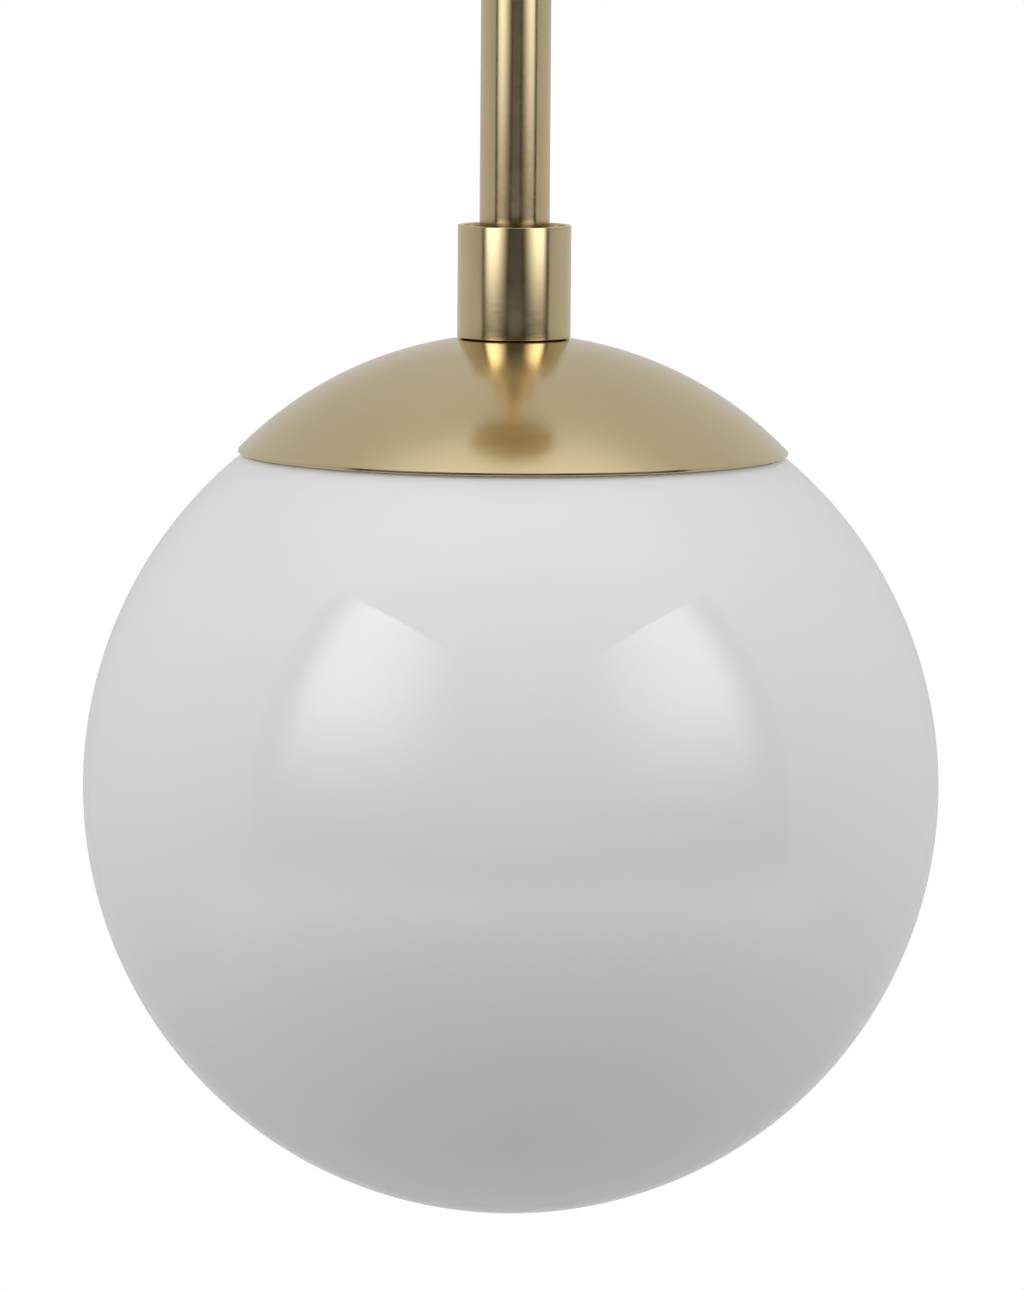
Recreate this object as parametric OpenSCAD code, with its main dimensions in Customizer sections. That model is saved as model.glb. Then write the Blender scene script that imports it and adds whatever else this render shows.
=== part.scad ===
// Globe pendant on a rigid stem, hung from a ball swivel in a ceiling canopy.
// Millimetres, +Z up. The origin is the centre of the canopy rim, on the ceiling.

/* [Globe] */
// Outer radius of the opal globe
globe_r = 76.5; // [62:0.5:95]
// Wall of the blown glass
globe_wall = 3; // [2:0.5:4]
// Radius of the neckless opening in the crown of the globe
opening_r = 40; // [33:0.5:43]

/* [Cap] */
// Radius of the cap over its rim
cap_r = 49; // [46:0.5:58]
// Sheet of the spun cap
cap_wall = 0.8; // [0.6:0.1:1]
// Height of the straight lip that ends the dome
cap_lip_h = 0.5; // [0.4:0.1:2]
// Gap between the inside of the rim and the glass, measured level
cap_rim_gap = 0.35; // [0.3:0.05:1]
// Height of the outside of the cap over the glass at the edge of the opening
cap_stand_off = 2.74; // [2.5:0.02:4]

/* [Stem] */
// Outer radius of the stem tubes
rod_r = 6.25; // [5.9:0.05:7.5]
// Radius of the tapped bore of the stem tubes
rod_bore_r = 5.05; // [4.2:0.05:5.5]
// Length of the stem tube under the swivel
upper_rod_len = 150; // [120:1:600]
// Length of the stem tube over the cap
lower_rod_len = 150; // [120:1:600]
// Bore of the nipples and of the swivel ball, for the leads
wire_bore_r = 3.6; // [3.4:0.1:3.8]
// Length of nipple screwed into each tube end
thread_in_rod = 12; // [8:0.5:16]

/* [Collar] */
// Outer radius of the loose collar
collar_r = 10.1; // [9.6:0.05:12.5]
// Wall of the collar
collar_wall = 1; // [0.6:0.1:1.2]
// Height of the collar
collar_h = 20; // [16:0.5:30]

/* [Ceiling group] */
// Outer radius of the canopy
canopy_r = 60; // [59:0.5:75]
// Depth of the canopy
canopy_h = 25; // [24:0.5:30]
// Sheet of the spun canopy
canopy_wall = 1; // [0.8:0.1:1.2]
// Width of the flat rim that lies on the ceiling
canopy_rim_w = 3.5; // [2:0.5:3.5]
// Outer radius of the soft bottom edge
canopy_edge_r = 4; // [2:0.5:6]
// Distance between the screws of the ceiling box
box_screw_spacing = 88.9; // [88.9:0.1:90]
// Width of the slots for those screws
box_slot_w = 4.8; // [4.4:0.1:5.2]
// Length of the slots, end to end
box_slot_len = 8; // [7:0.5:9]
// Distance between the two canopy studs
stud_spacing = 68; // [66:0.5:69]
// Length of the crossbar
crossbar_len = 108; // [104:1:110]
// Width of the crossbar
crossbar_w = 22; // [18:1:22]
// Thickness of the crossbar
crossbar_t = 2; // [1.5:0.1:2.5]

/* [Swivel] */
// Radius of the swivel ball
ball_r = 11; // [10:0.1:13.2]
// Lean of the stem each way
lean_deg = 25; // [10:1:25]
// Distance from the bottom of the swivel cup down to the top of the stem
rod_under_cup = 8.45; // [7.5:0.05:14]

/* [Lampholder and bulb] */
// Radius of the porcelain body
holder_r = 19; // [17:0.5:21]
// Height of the porcelain body
holder_h = 39; // [36:0.5:44]
// Inner radius of the screw shell
shell_r = 13.3; // [13.2:0.05:13.6]
// Radius of the widest part of the bulb
bulb_r = 24; // [21:0.5:30]
// Length of the bulb from its contact to its end
bulb_len = 88; // [82:1:96]

/* [Fits] */
// Gap round each turning or sliding fit
run_gap = 0.05; // [0.02:0.01:0.1]
// Gap round a shaft screwed or pushed into its own body's bore
thread_gap = 0.05; // [0.02:0.01:0.1]
// Room round the bulb base in the screw shell
base_gap = 0.4; // [0.3:0.05:0.7]
// Room round the nipple in the hole of the cap
cap_hole_gap = 0.2; // [0.1:0.05:0.5]
// Gap between pieces that rest near each other on different bodies
rest_gap = 0.1; // [0.05:0.05:0.3]
// Room between pieces that pass each other on different bodies
pass_gap = 0.3; // [0.3:0.05:0.5]

/* [Hidden] */
$fn = 96;

brass = [0.80, 0.70, 0.50];
steel = [0.70, 0.71, 0.72];
porcelain = [0.93, 0.92, 0.88];
opal = [0.94, 0.94, 0.95];

// Studs that hold the canopy up, and their nuts
stud_r = 2.1;
stud_out = 7;
stud_low = -canopy_h - stud_out;
stud_tip_gap = 0.5;
stud_top_gap = 0.2;
stud_hole_gap = 0.3;
stud_nut_af = 7;
stud_nut_h = 3;
cap_nut_r = 6;
cap_nut_h = 11;
cap_nut_dome = 3;
wire_hole_r = 5;

function arch(radius, r) = sqrt(pow(radius, 2) - pow(r, 2));

// Swivel, in heights over the ball centre; the seat holds the ball down to seat_end_r
ball_z = 3 - canopy_h;
thread_r = rod_bore_r - thread_gap;
neck_r = thread_r;
seat_end_r = 9.2195;
seat_low = -arch(ball_r, seat_end_r);
seat_high = 1;
seat_wall = 2;
seat_r = ball_r + run_gap + seat_wall;
cup_bore_r = seat_r + run_gap;
cup_wall = 2;
cup_r = cup_bore_r + cup_wall;
cup_flange_r = cup_r + 3;
cup_flange_t = 2;
cup_floor_t = 2.5;
cup_low = seat_low - run_gap - cup_floor_t;
cup_high = 6;
keeper_low = seat_high + rest_gap;
ball_flat = ball_r - 1.5;
ball_to_rod = rod_under_cup - cup_low;
// Radius at which the leaning neck crosses the bottom of the cup, with room round it
cup_mouth_r = 2 * pass_gap + neck_r * cos(lean_deg)
    + (neck_r * sin(lean_deg) - cup_low) * tan(lean_deg);
neck_nut_h = 3;
neck_nut_af = 2 * thread_r + 2;
neck_len_in_rod = 9;

// Stem, from the top down
rod_top = ball_z - ball_to_rod;
rod_joint = rod_top - upper_rod_len;
rod_low = rod_joint - lower_rod_len;
nut_bore_r = thread_r + thread_gap;
lock_nut_h = 4;
nut_af = 2 * thread_r + 4;
thin_nut_h = 3;
washer_r = thread_r + 3;
washer_t = 1;
bushing_in_r = wire_bore_r - 0.7;
bushing_lip_r = wire_bore_r + 1.2;
bushing_lip_h = 0.8;
bushing_len = 5;

// Cap and globe, in heights over the globe centre
cap_hole_r = thread_r + cap_hole_gap;
cap_lip_lap = 0.3;
rim_up = sqrt(pow(globe_r, 2) - pow(cap_r - cap_wall - cap_rim_gap, 2));
lip_up = rim_up + cap_lip_h;
crown_up = sqrt(pow(globe_r, 2) - pow(opening_r, 2)) + cap_stand_off;
dome_up = (pow(cap_r, 2) + pow(lip_up, 2) - pow(opening_r, 2) - pow(crown_up, 2))
    / (2 * (lip_up - crown_up));
dome_r = sqrt(pow(cap_r, 2) + pow(lip_up - dome_up, 2));
dome_in_r = dome_r - cap_wall;

washer_low = rod_low - lock_nut_h - washer_t;
dome_z = washer_low - sqrt(pow(dome_r, 2) - pow(cap_hole_r, 2));
globe_z = dome_z - dome_up;
globe_in_r = globe_r - globe_wall;

function dome_in(r) = dome_z + arch(dome_in_r, r);

// What hangs on the nipple under the cap, from the top down
hub_r = 20;
hub_t = 1.5;
hub_gap = 0.5;
hub_top = dome_in(hub_r) - hub_gap;
hub_low = hub_top - hub_t;
spacer_r = washer_r;
bracket_top = hub_low - lock_nut_h;
bracket_t = 1.5;
bracket_h = 5;
bracket_w = 12;
bracket_half = nut_af / 2 + 2;
foot_t = 1.2;
foot_end = 17;
holder_top = bracket_top - bracket_h;
nipple_tail = 0.2;
nipple_low = bracket_top - bracket_t - thin_nut_h - nipple_tail;
nipple_top = rod_low + thread_in_rod;

// Spring arms, one strip bent in five places
arm_count = 3;
arm_w = 7;
arm_t = 0.5;
arm_in = 11;
arm_bend = 24;
arm_bend_up = 1.5;
arm_tail = [4, 4.5];
arm_pass_r = opening_r - arm_t / 2 - 2 * pass_gap;
arm_hook_r = opening_r + 2.3;
glass_low = globe_z + arch(globe_in_r, opening_r);
glass_high = globe_z + arch(globe_r, opening_r);
arm_hook_z = globe_z + arch(globe_in_r - arm_t / 2 - pass_gap, arm_hook_r);
rivet_r = 1.2;
rivet_head_r = 2;
rivet_head_t = 0.6;
rivet_set = 0.1;
rivet_places = [13.5, 18];

// Gasket ring between the cap and the crown of the globe
gasket_ring_r = opening_r + 1.5;
gasket_z = (globe_z + arch(globe_r, gasket_ring_r) + dome_in(gasket_ring_r)) / 2;
gasket_to_glass = norm([gasket_ring_r, gasket_z - globe_z]) - globe_r;
gasket_to_cap = dome_in_r - norm([gasket_ring_r, gasket_z - dome_z]);
gasket_r = min(gasket_to_glass, gasket_to_cap) - rest_gap;

// Lampholder
channel_w = 10;
channel_half = 16.2;
channel_z = holder_top - 5.5;
strip_t = 0.6;
shell_wall = 0.5;
shell_depth = 13.7;
shell_len = 23;
shell_top = holder_top - shell_depth;
shell_low = shell_top - shell_len;
holder_mouth = holder_top - holder_h;
screw_y = 13;
screw_r = 1.7;
screw_head_r = 2.9;
screw_slot_w = 0.8;
screw_slot_depth = 0.8;
bracket_screw_x = 13;
bracket_screw_len = 6;
bracket_head_r = 3;
bracket_head_h = 1.8;
terminal_shank = 4.5;
terminal_hole_depth = 5;
terminal_head_up = 2.4;
terminal_head_h = 2.1;
holder_edge = 1.5;
holder_step_in = 1.5;
holder_step_h = 2;
holder_skirt_h = 14;
holder_bore_gap = 0.3;
contact_r = 4.2;
contact_t = 0.6;
contact_rise = 0.9;
contact_tongue_r = 2.2;
contact_tongue_y = -0.5;
shell_hole_r = contact_r + 2.3;
contact_z = shell_top - contact_t;
line_rivet_y = 3.2;
neutral_rivet_y = -9;
rivet_tail = 0.2;
strip_w = 5.2;
strip_end_y = channel_half - 0.4;
line_strip_y = 1.4;
neutral_strip_y = -7;

// Leads
lead_r = 1.1;
lead_side = 1.35;
lead_bare_r = 0.5;
lead_end_y = screw_y - screw_head_r - 0.2;
lead_bare_lap = 0.1;
lead_bare_len = screw_y - screw_r - thread_gap - lead_end_y - rest_gap;
ground_lead_bend = 4;
stem_lead_bend = 2.5;
lead_run_z = channel_z + strip_t + lead_r + rest_gap;
lead_top = -6.5;
connector_r = 4.3;
connector_x = cup_flange_r + connector_r + 1.6;
connector_top = -9.7;
connector_low = 1 - canopy_h + canopy_wall;
connector_end_r = connector_r - 1.2;
connector_waist_r = connector_r - 0.6;
connector_waist_up = 5;
connector_step = 1;
connector_bore_depth = 4;
connector_bore_gap = 0.4;
ground_at = [-20, 6];
ground_head_r = 4;
ground_head_h = 2;
ground_head_gap = 0.9;
ground_slot_w = 1;
ground_slot_depth = 1;
ground_nut_at = [-32, 36];
ground_lead_run = [[-3.2, 5.6], [-6, 16]];
ground_lead_drop = 0.5;
ground_lead_in = 4;
stem_lead_in = 3.5;

// Collar
collar_in_r = collar_r - collar_wall;
collar_low = dome_z + arch(dome_r, collar_in_r) + rest_gap;

// Bulb
bulb_base_r = shell_r - base_gap;
bulb_top = contact_z - contact_rise - rest_gap;
bulb_end = bulb_top - bulb_len;
bulb_centre = bulb_end + bulb_r;
bulb_seam = bulb_centre + bulb_r / 2;
bulb_insulator_h = 3.5;
bulb_tip_r = 4.7;
bulb_tip_face_r = 2.5;
bulb_tip_t = 1;
bulb_shell_top = bulb_top - bulb_insulator_h;
bulb_shell_low = bulb_shell_top - shell_len + 0.5;
bulb_shell_wall = 0.4;
bulb_wall = 1.2;
bulb_neck_r = bulb_base_r - bulb_shell_wall - thread_gap;
bulb_neck_h = 12;
bulb_collar_out = [0.6, 1];
bulb_collar_h = 2;
bulb_seam_r = arch(bulb_r, bulb_seam - bulb_centre);
board_t = 1.2;
board_gap = 0.6;
board_hole_r = 1.5;
led_count = 8;
led_at_r = 11.5;
led_size = [2.8, 2.8, 0.7];
driver_w = 16;
driver_t = 1.2;
driver_in_neck = 6;

// A round wall of inner radius r_in and outer radius r_out, from z up over h
module ring(r_out, r_in, z, h) {
    translate([0, 0, z])
        difference() {
            cylinder(r = r_out, h = h);
            translate([0, 0, -1]) cylinder(r = r_in, h = h + 2);
        }
}

module hex_nut(af, bore, z, h) {
    translate([0, 0, z])
        difference() {
            rotate([0, 0, 30]) cylinder(r = af / sqrt(3), h = h, $fn = 6);
            translate([0, 0, -1]) cylinder(r = bore, h = h + 2);
        }
}

// A wall turned about Z from a profile of [radius, height] points
module turned(points, z = 0) {
    translate([0, 0, z]) rotate_extrude() polygon(points);
}

// A flat strip of thickness t, bent along points in the X-Z plane and w wide
module bent_strip(points, t, w) {
    rotate([90, 0, 0])
        linear_extrude(w, center = true)
            for (i = [0 : len(points) - 2]) {
                step = points[i + 1] - points[i];
                translate(points[i]) {
                    rotate(atan2(step[1], step[0]))
                        translate([0, -t / 2]) square([norm(step), t]);
                    if (i > 0) circle(d = t, $fn = 24);
                }
            }
}

// Leads: a route is a list of corners, and each corner is rounded by an arc
function unit(v) = v / norm(v);
function corner_arc(a, b, c, bend) =
    let (
        u = unit(a - b),
        v = unit(c - b),
        half = acos(u * v) / 2,
        reach = bend / tan(half),
        mid = b + unit(u + v) * bend / sin(half),
        from = b + u * reach - mid,
        side = unit(cross(cross(u, v), from)) * bend,
        turn = 180 - 2 * half,
        sense = side * (b + v * reach - mid) > 0 ? 1 : -1
    )
    [for (s = [0 : 0.25 : 1]) mid + from * cos(turn * s) + side * sense * sin(turn * s)];
function rounded(corners, bend) = [
    corners[0],
    for (i = [1 : len(corners) - 2]) each corner_arc(corners[i - 1], corners[i], corners[i + 1], bend),
    corners[len(corners) - 1],
];
function along(path, i) = unit(path[min(i + 1, len(path) - 1)] - path[max(i - 1, 0)]);
function normals(path, i = 0, last = [0, 0, 0]) =
    i == len(path) ? [] :
    let (
        t = along(path, i),
        seed = i == 0 ? (abs(t[0]) < 0.9 ? [1, 0, 0] : [0, 1, 0]) : last,
        n = unit(seed - t * (seed * t))
    )
    concat([n], normals(path, i + 1, n));

module lead(corners, bend, r, sides = 8) {
    path = rounded(corners, bend);
    out = normals(path);
    rings = len(path);
    points = [
        for (i = [0 : rings - 1], k = [0 : sides - 1])
            let (a = 360 * k / sides)
            path[i] + r * (cos(a) * out[i] + sin(a) * cross(along(path, i), out[i])),
    ];
    walls = [
        for (i = [0 : rings - 2], k = [0 : sides - 1])
            let (a = i * sides + k, b = i * sides + (k + 1) % sides)
            each [[a, a + sides, b], [b, a + sides, b + sides]],
    ];
    ends = [
        [for (k = [0 : sides - 1]) k],
        [for (k = [sides - 1 : -1 : 0]) (rings - 1) * sides + k],
    ];
    polyhedron(points, concat(walls, ends));
}

// Ceiling group --------------------------------------------------------------

module canopy() {
    inner = canopy_edge_r - canopy_wall;
    color(brass)
        difference() {
            rotate_extrude()
                difference() {
                    union() {
                        translate([0, -canopy_h]) square([canopy_r - canopy_edge_r, canopy_h]);
                        translate([0, canopy_edge_r - canopy_h])
                            square([canopy_r, canopy_h - canopy_edge_r]);
                        translate([canopy_r - canopy_edge_r, canopy_edge_r - canopy_h])
                            circle(canopy_edge_r);
                    }
                    translate([0, canopy_edge_r - canopy_h])
                        square([canopy_r - canopy_wall, canopy_h - canopy_edge_r - canopy_wall]);
                    translate([0, canopy_wall - canopy_h])
                        square([canopy_r - canopy_edge_r, canopy_edge_r]);
                    translate([canopy_r - canopy_edge_r, canopy_edge_r - canopy_h]) circle(inner);
                    translate([0, -canopy_wall - 1])
                        square([canopy_r - canopy_rim_w, canopy_wall + 2]);
                    translate([0, -canopy_h - 1]) square([cup_r + thread_gap, canopy_wall + 2]);
                }
            for (side = [-1, 1])
                translate([side * stud_spacing / 2, 0, -canopy_h - 1])
                    cylinder(r = stud_r + stud_hole_gap, h = canopy_wall + 2);
        }
}

module slot(length, width, h) {
    linear_extrude(h) {
        square([length - width, width], center = true);
        for (side = [-1, 1]) translate([side * (length - width) / 2, 0]) circle(d = width);
    }
}

module crossbar() {
    color(steel)
        translate([0, 0, -crossbar_t])
            difference() {
                translate([-crossbar_len / 2, -crossbar_w / 2, 0])
                    cube([crossbar_len, crossbar_w, crossbar_t]);
                for (side = [-1, 1]) {
                    translate([side * box_screw_spacing / 2, 0, -1])
                        slot(box_slot_len, box_slot_w, crossbar_t + 2);
                    translate([side * stud_spacing / 2, 0, -1])
                        cylinder(r = stud_r + thread_gap, h = crossbar_t + 2);
                }
                translate([ground_at[0], ground_at[1], -1])
                    cylinder(r = stud_r + thread_gap, h = crossbar_t + 2);
                translate([0, 0, -1]) cylinder(r = wire_hole_r, h = crossbar_t + 2);
            }
}

module canopy_studs() {
    color(steel)
        for (side = [-1, 1])
            translate([side * stud_spacing / 2, 0, stud_low])
                cylinder(r = stud_r, h = -stud_low - stud_top_gap);
}

module stud_lock_nuts() {
    color(steel)
        for (side = [-1, 1])
            translate([side * stud_spacing / 2, 0, 0])
                hex_nut(stud_nut_af, stud_r + thread_gap, -crossbar_t - stud_nut_h, stud_nut_h);
}

module canopy_cap_nuts() {
    dome = cap_nut_dome;
    color(brass)
        for (side = [-1, 1])
            translate([side * stud_spacing / 2, 0, -canopy_h])
                difference() {
                    rotate_extrude() {
                        translate([0, dome - cap_nut_h]) square([cap_nut_r, cap_nut_h - dome]);
                        translate([0, -cap_nut_h]) square([cap_nut_r - dome, dome]);
                        intersection() {
                            translate([cap_nut_r - dome, dome - cap_nut_h]) circle(dome);
                            translate([0, -cap_nut_h]) square([cap_nut_r, dome]);
                        }
                    }
                    translate([0, 0, -stud_out - stud_tip_gap])
                        cylinder(r = stud_r + thread_gap, h = cap_nut_h + 1);
                }
}

module ground_screw() {
    color("seagreen")
        translate([ground_at[0], ground_at[1], 0]) {
            translate([0, 0, -crossbar_t - ground_head_gap])
                cylinder(r = stud_r, h = crossbar_t + ground_head_gap - stud_top_gap);
            translate([0, 0, -crossbar_t - ground_head_gap - ground_head_h])
                difference() {
                    cylinder(r = ground_head_r, h = ground_head_h);
                    translate([-ground_head_r - 1, -ground_slot_w / 2, -1])
                        cube([2 * ground_head_r + 2, ground_slot_w, ground_slot_depth + 1]);
                }
        }
}

module ground_lead() {
    z = -crossbar_t - lead_r - ground_lead_drop;
    color("green")
        lead([
            concat(ground_at + ground_lead_run[0], z),
            concat(ground_at + ground_lead_run[1], z),
            concat(ground_nut_at, lead_top),
            concat(ground_nut_at, connector_top - ground_lead_in),
        ], ground_lead_bend, lead_r);
}

// Twist-on connector, open at the top, its wall gripping the lead
module twist_connector() {
    color("orange")
        difference() {
            turned([
                [0, connector_low], [connector_end_r, connector_low],
                [connector_waist_r, connector_low + connector_waist_up],
                [connector_r, connector_low + connector_waist_up + connector_step],
                [connector_r, connector_top], [0, connector_top],
            ]);
            translate([0, 0, connector_top - connector_bore_depth])
                cylinder(r = lead_r + connector_bore_gap, h = connector_bore_depth + 2);
        }
}

module ground_connector() {
    translate([ground_nut_at[0], ground_nut_at[1], 0]) twist_connector();
}

module swivel_cup() {
    color(brass)
        difference() {
            union() {
                translate([0, 0, ball_z + cup_low]) cylinder(r = cup_r, h = cup_high - cup_low);
                translate([0, 0, canopy_wall - canopy_h]) cylinder(r = cup_flange_r, h = cup_flange_t);
            }
            translate([0, 0, ball_z + seat_low - run_gap])
                cylinder(r = cup_bore_r, h = cup_high - seat_low + 2);
            translate([0, 0, ball_z + cup_low - 1]) cylinder(r = cup_mouth_r, h = cup_floor_t + 2);
        }
}

module ball_keeper() {
    color(brass)
        difference() {
            translate([0, 0, ball_z + keeper_low])
                cylinder(r = cup_bore_r - thread_gap, h = cup_high - keeper_low);
            translate([0, 0, ball_z]) sphere(ball_r + pass_gap);
        }
}

// Swivel seat, turning in the cup ---------------------------------------------

module swivel_seat() {
    color("ivory")
        difference() {
            translate([0, 0, ball_z + seat_low]) cylinder(r = seat_r, h = seat_high - seat_low);
            translate([0, 0, ball_z]) sphere(ball_r + run_gap);
        }
}

module lead_connectors() {
    for (side = [-1, 1]) translate([side * connector_x, 0, 0]) twist_connector();
}

// Stem ------------------------------------------------------------------------

module swivel_ball() {
    low = -ball_to_rod - neck_len_in_rod;
    color(brass)
        translate([0, 0, ball_z])
            difference() {
                union() {
                    intersection() {
                        sphere(ball_r);
                        translate([0, 0, -ball_r]) cylinder(r = ball_r + 1, h = ball_r + ball_flat);
                    }
                    translate([0, 0, low]) cylinder(r = neck_r, h = -low);
                }
                translate([0, 0, low - 1]) cylinder(r = wire_bore_r, h = ball_r - low + 2);
            }
}

// Flanged sleeve that keeps the leads off a bore's sharp edge, lip upwards
module bushing(z, length) {
    ring(wire_bore_r - thread_gap, bushing_in_r, z - length, length);
    ring(bushing_lip_r, bushing_in_r, z, bushing_lip_h);
}

module ball_bushing() {
    color("dimgray") bushing(ball_z + ball_flat, bushing_len);
}

module neck_nut() {
    color(brass) hex_nut(neck_nut_af, neck_r + thread_gap, rod_top, neck_nut_h);
}

module upper_rod() {
    color(brass) ring(rod_r, rod_bore_r, rod_joint, upper_rod_len);
}

module rod_coupling() {
    color(steel)
        ring(thread_r, wire_bore_r, rod_joint - thread_in_rod, 2 * thread_in_rod);
}

module lower_rod() {
    color(brass) ring(rod_r, rod_bore_r, rod_low, lower_rod_len);
}

module lower_nipple() {
    color(steel) ring(thread_r, wire_bore_r, nipple_low, nipple_top - nipple_low);
}

module stem_lock_nut() {
    color(brass) hex_nut(nut_af, nut_bore_r, washer_low + washer_t, lock_nut_h);
}

module cap_washer() {
    color(steel) ring(washer_r, nut_bore_r, washer_low, washer_t);
}

module cap() {
    color(brass)
        rotate_extrude() {
            difference() {
                translate([0, dome_z]) circle(dome_r, $fn = 192);
                translate([0, dome_z]) circle(dome_in_r, $fn = 192);
                translate([-dome_r - 1, dome_z - dome_r - 1])
                    square([2 * dome_r + 2, globe_z + lip_up - dome_z + dome_r + 1]);
                translate([cap_hole_r - dome_r - 1, dome_z - dome_r])
                    square([dome_r + 1, 2 * dome_r + 1]);
            }
            translate([cap_r - cap_wall, globe_z + rim_up]) square([cap_wall, cap_lip_h + cap_lip_lap]);
        }
}

module cap_spacer() {
    color(steel) ring(spacer_r, nut_bore_r, hub_top, dome_in(spacer_r) - rest_gap - hub_top);
}

module spring_hub() {
    color(steel)
        difference() {
            ring(hub_r, nut_bore_r, hub_low, hub_t);
            at_rivets() translate([0, 0, hub_low - 1]) cylinder(r = rivet_r + thread_gap, h = hub_t + 2);
        }
}

module hub_nut() {
    color(steel) hex_nut(nut_af, nut_bore_r, bracket_top, lock_nut_h);
}

module at_rivets() {
    for (i = [0 : arm_count - 1], r = rivet_places)
        rotate([0, 0, 360 / arm_count * i + 30]) translate([r, 0, 0]) children();
}

// A leaf that drops through the opening and turns out under the glass
module spring_arm(i) {
    flat_z = hub_low - arm_t / 2;
    color([0.62, 0.63, 0.65])
        difference() {
            rotate([0, 0, 360 / arm_count * i + 30])
                bent_strip([
                    [arm_in, flat_z],
                    [arm_bend, flat_z],
                    [arm_pass_r, glass_high + arm_bend_up],
                    [arm_pass_r, glass_low - pass_gap],
                    [arm_hook_r, arm_hook_z],
                    [arm_hook_r, arm_hook_z] - arm_tail,
                ], arm_t, arm_w);
            at_rivets()
                translate([0, 0, flat_z - arm_t]) cylinder(r = rivet_r + thread_gap, h = 2 * arm_t);
        }
}

module spring_arm_1() { spring_arm(0); }
module spring_arm_2() { spring_arm(1); }
module spring_arm_3() { spring_arm(2); }

module arm_rivets() {
    low = hub_low - arm_t;
    color(brass)
        at_rivets() {
            translate([0, 0, low - rivet_head_t]) cylinder(r = rivet_head_r, h = rivet_head_t);
            translate([0, 0, low - rivet_head_t / 2])
                cylinder(r = rivet_r, h = hub_top - low + rivet_head_t / 2 + rivet_set);
        }
}

module shade_gasket() {
    color("whitesmoke")
        rotate_extrude() translate([gasket_ring_r, gasket_z]) circle(gasket_r, $fn = 24);
}

// Lampholder ------------------------------------------------------------------

module holder_bracket() {
    color(steel)
        difference() {
            translate([0, -bracket_w / 2, 0]) {
                translate([-bracket_half, 0, bracket_top - bracket_t])
                    cube([2 * bracket_half, bracket_w, bracket_t]);
                for (side = [-1, 1])
                    mirror([side < 0 ? 1 : 0, 0, 0]) {
                        translate([bracket_half - foot_t, 0, holder_top])
                            cube([foot_t, bracket_w, bracket_h]);
                        translate([bracket_half - foot_t, 0, holder_top])
                            cube([foot_end - bracket_half + foot_t, bracket_w, foot_t]);
                    }
            }
            translate([0, 0, holder_top]) cylinder(r = nut_bore_r, h = bracket_h + 1);
            for (side = [-1, 1])
                translate([side * bracket_screw_x, 0, holder_top - 1])
                    cylinder(r = screw_r + thread_gap, h = foot_t + 2);
        }
}

module bracket_nut() {
    color(steel) hex_nut(nut_af, nut_bore_r, bracket_top - bracket_t - thin_nut_h, thin_nut_h);
}

// Driver slot across a screw head whose face is at height z
module screw_slot(z) {
    translate([-screw_head_r - 1, -screw_slot_w / 2, z - screw_slot_depth])
        cube([2 * screw_head_r + 2, screw_slot_w, screw_slot_depth + 1]);
}

module bracket_screws() {
    color(steel)
        for (side = [-1, 1])
            translate([side * bracket_screw_x, 0, holder_top + foot_t])
                difference() {
                    union() {
                        cylinder(r = bracket_head_r, h = bracket_head_h);
                        translate([0, 0, -bracket_screw_len])
                            cylinder(r = screw_r, h = bracket_screw_len + 0.5);
                    }
                    screw_slot(bracket_head_h);
                }
}

module nipple_bushing() {
    color("dimgray")
        translate([0, 0, nipple_low]) mirror([0, 0, 1]) bushing(0, bushing_len);
}

module at_terminals() {
    for (side = [-1, 1]) translate([0, side * screw_y, 0]) children();
}

module holder_body() {
    edge = holder_edge;
    low_r = holder_r - holder_step_in;
    color(porcelain)
        difference() {
            turned([
                [0, 0], [holder_r - edge, 0], [holder_r, -edge],
                [holder_r, holder_skirt_h - holder_h],
                [low_r, holder_skirt_h - holder_step_h - holder_h],
                [low_r, edge - holder_h], [low_r - edge, -holder_h], [0, -holder_h],
            ], holder_top);
            translate([0, 0, holder_mouth - 1])
                cylinder(r = shell_r + shell_wall + holder_bore_gap, h = shell_top - holder_mouth + 1);
            translate([-channel_w / 2, -channel_half, channel_z])
                cube([channel_w, 2 * channel_half, holder_top - channel_z + 1]);
            at_terminals()
                translate([0, 0, channel_z - terminal_hole_depth])
                    cylinder(r = screw_r + thread_gap, h = terminal_hole_depth + 1);
            for (y = [line_rivet_y, neutral_rivet_y])
                translate([0, y, shell_top - 1])
                    cylinder(r = rivet_r + thread_gap, h = channel_z - shell_top + 2);
            for (side = [-1, 1])
                translate([side * bracket_screw_x, 0, holder_top - bracket_screw_len])
                    cylinder(r = screw_r + thread_gap, h = bracket_screw_len + 1);
        }
}

module holder_shell() {
    color(brass)
        difference() {
            union() {
                ring(shell_r + shell_wall, shell_r, shell_low, shell_top - shell_low);
                ring(shell_r + shell_wall / 2, shell_hole_r, shell_top - shell_wall, shell_wall);
            }
            translate([0, neutral_rivet_y, shell_top - 1])
                cylinder(r = rivet_r + thread_gap, h = 2);
        }
}

module holder_contact() {
    color(brass)
        difference() {
            union() {
                translate([0, 0, contact_z]) cylinder(r = contact_r, h = shell_top - contact_z);
                translate([0, contact_tongue_y, contact_z - contact_rise])
                    cylinder(r = contact_tongue_r, h = contact_rise + contact_t / 2);
            }
            translate([0, line_rivet_y, contact_z - 2]) cylinder(r = rivet_r + thread_gap, h = 4);
        }
}

module holder_rivets() {
    color(brass)
        for (y = [line_rivet_y, neutral_rivet_y])
            translate([0, y, contact_z - rivet_tail])
                cylinder(r = rivet_r, h = channel_z + strip_t - contact_z + rivet_tail);
}

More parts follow.
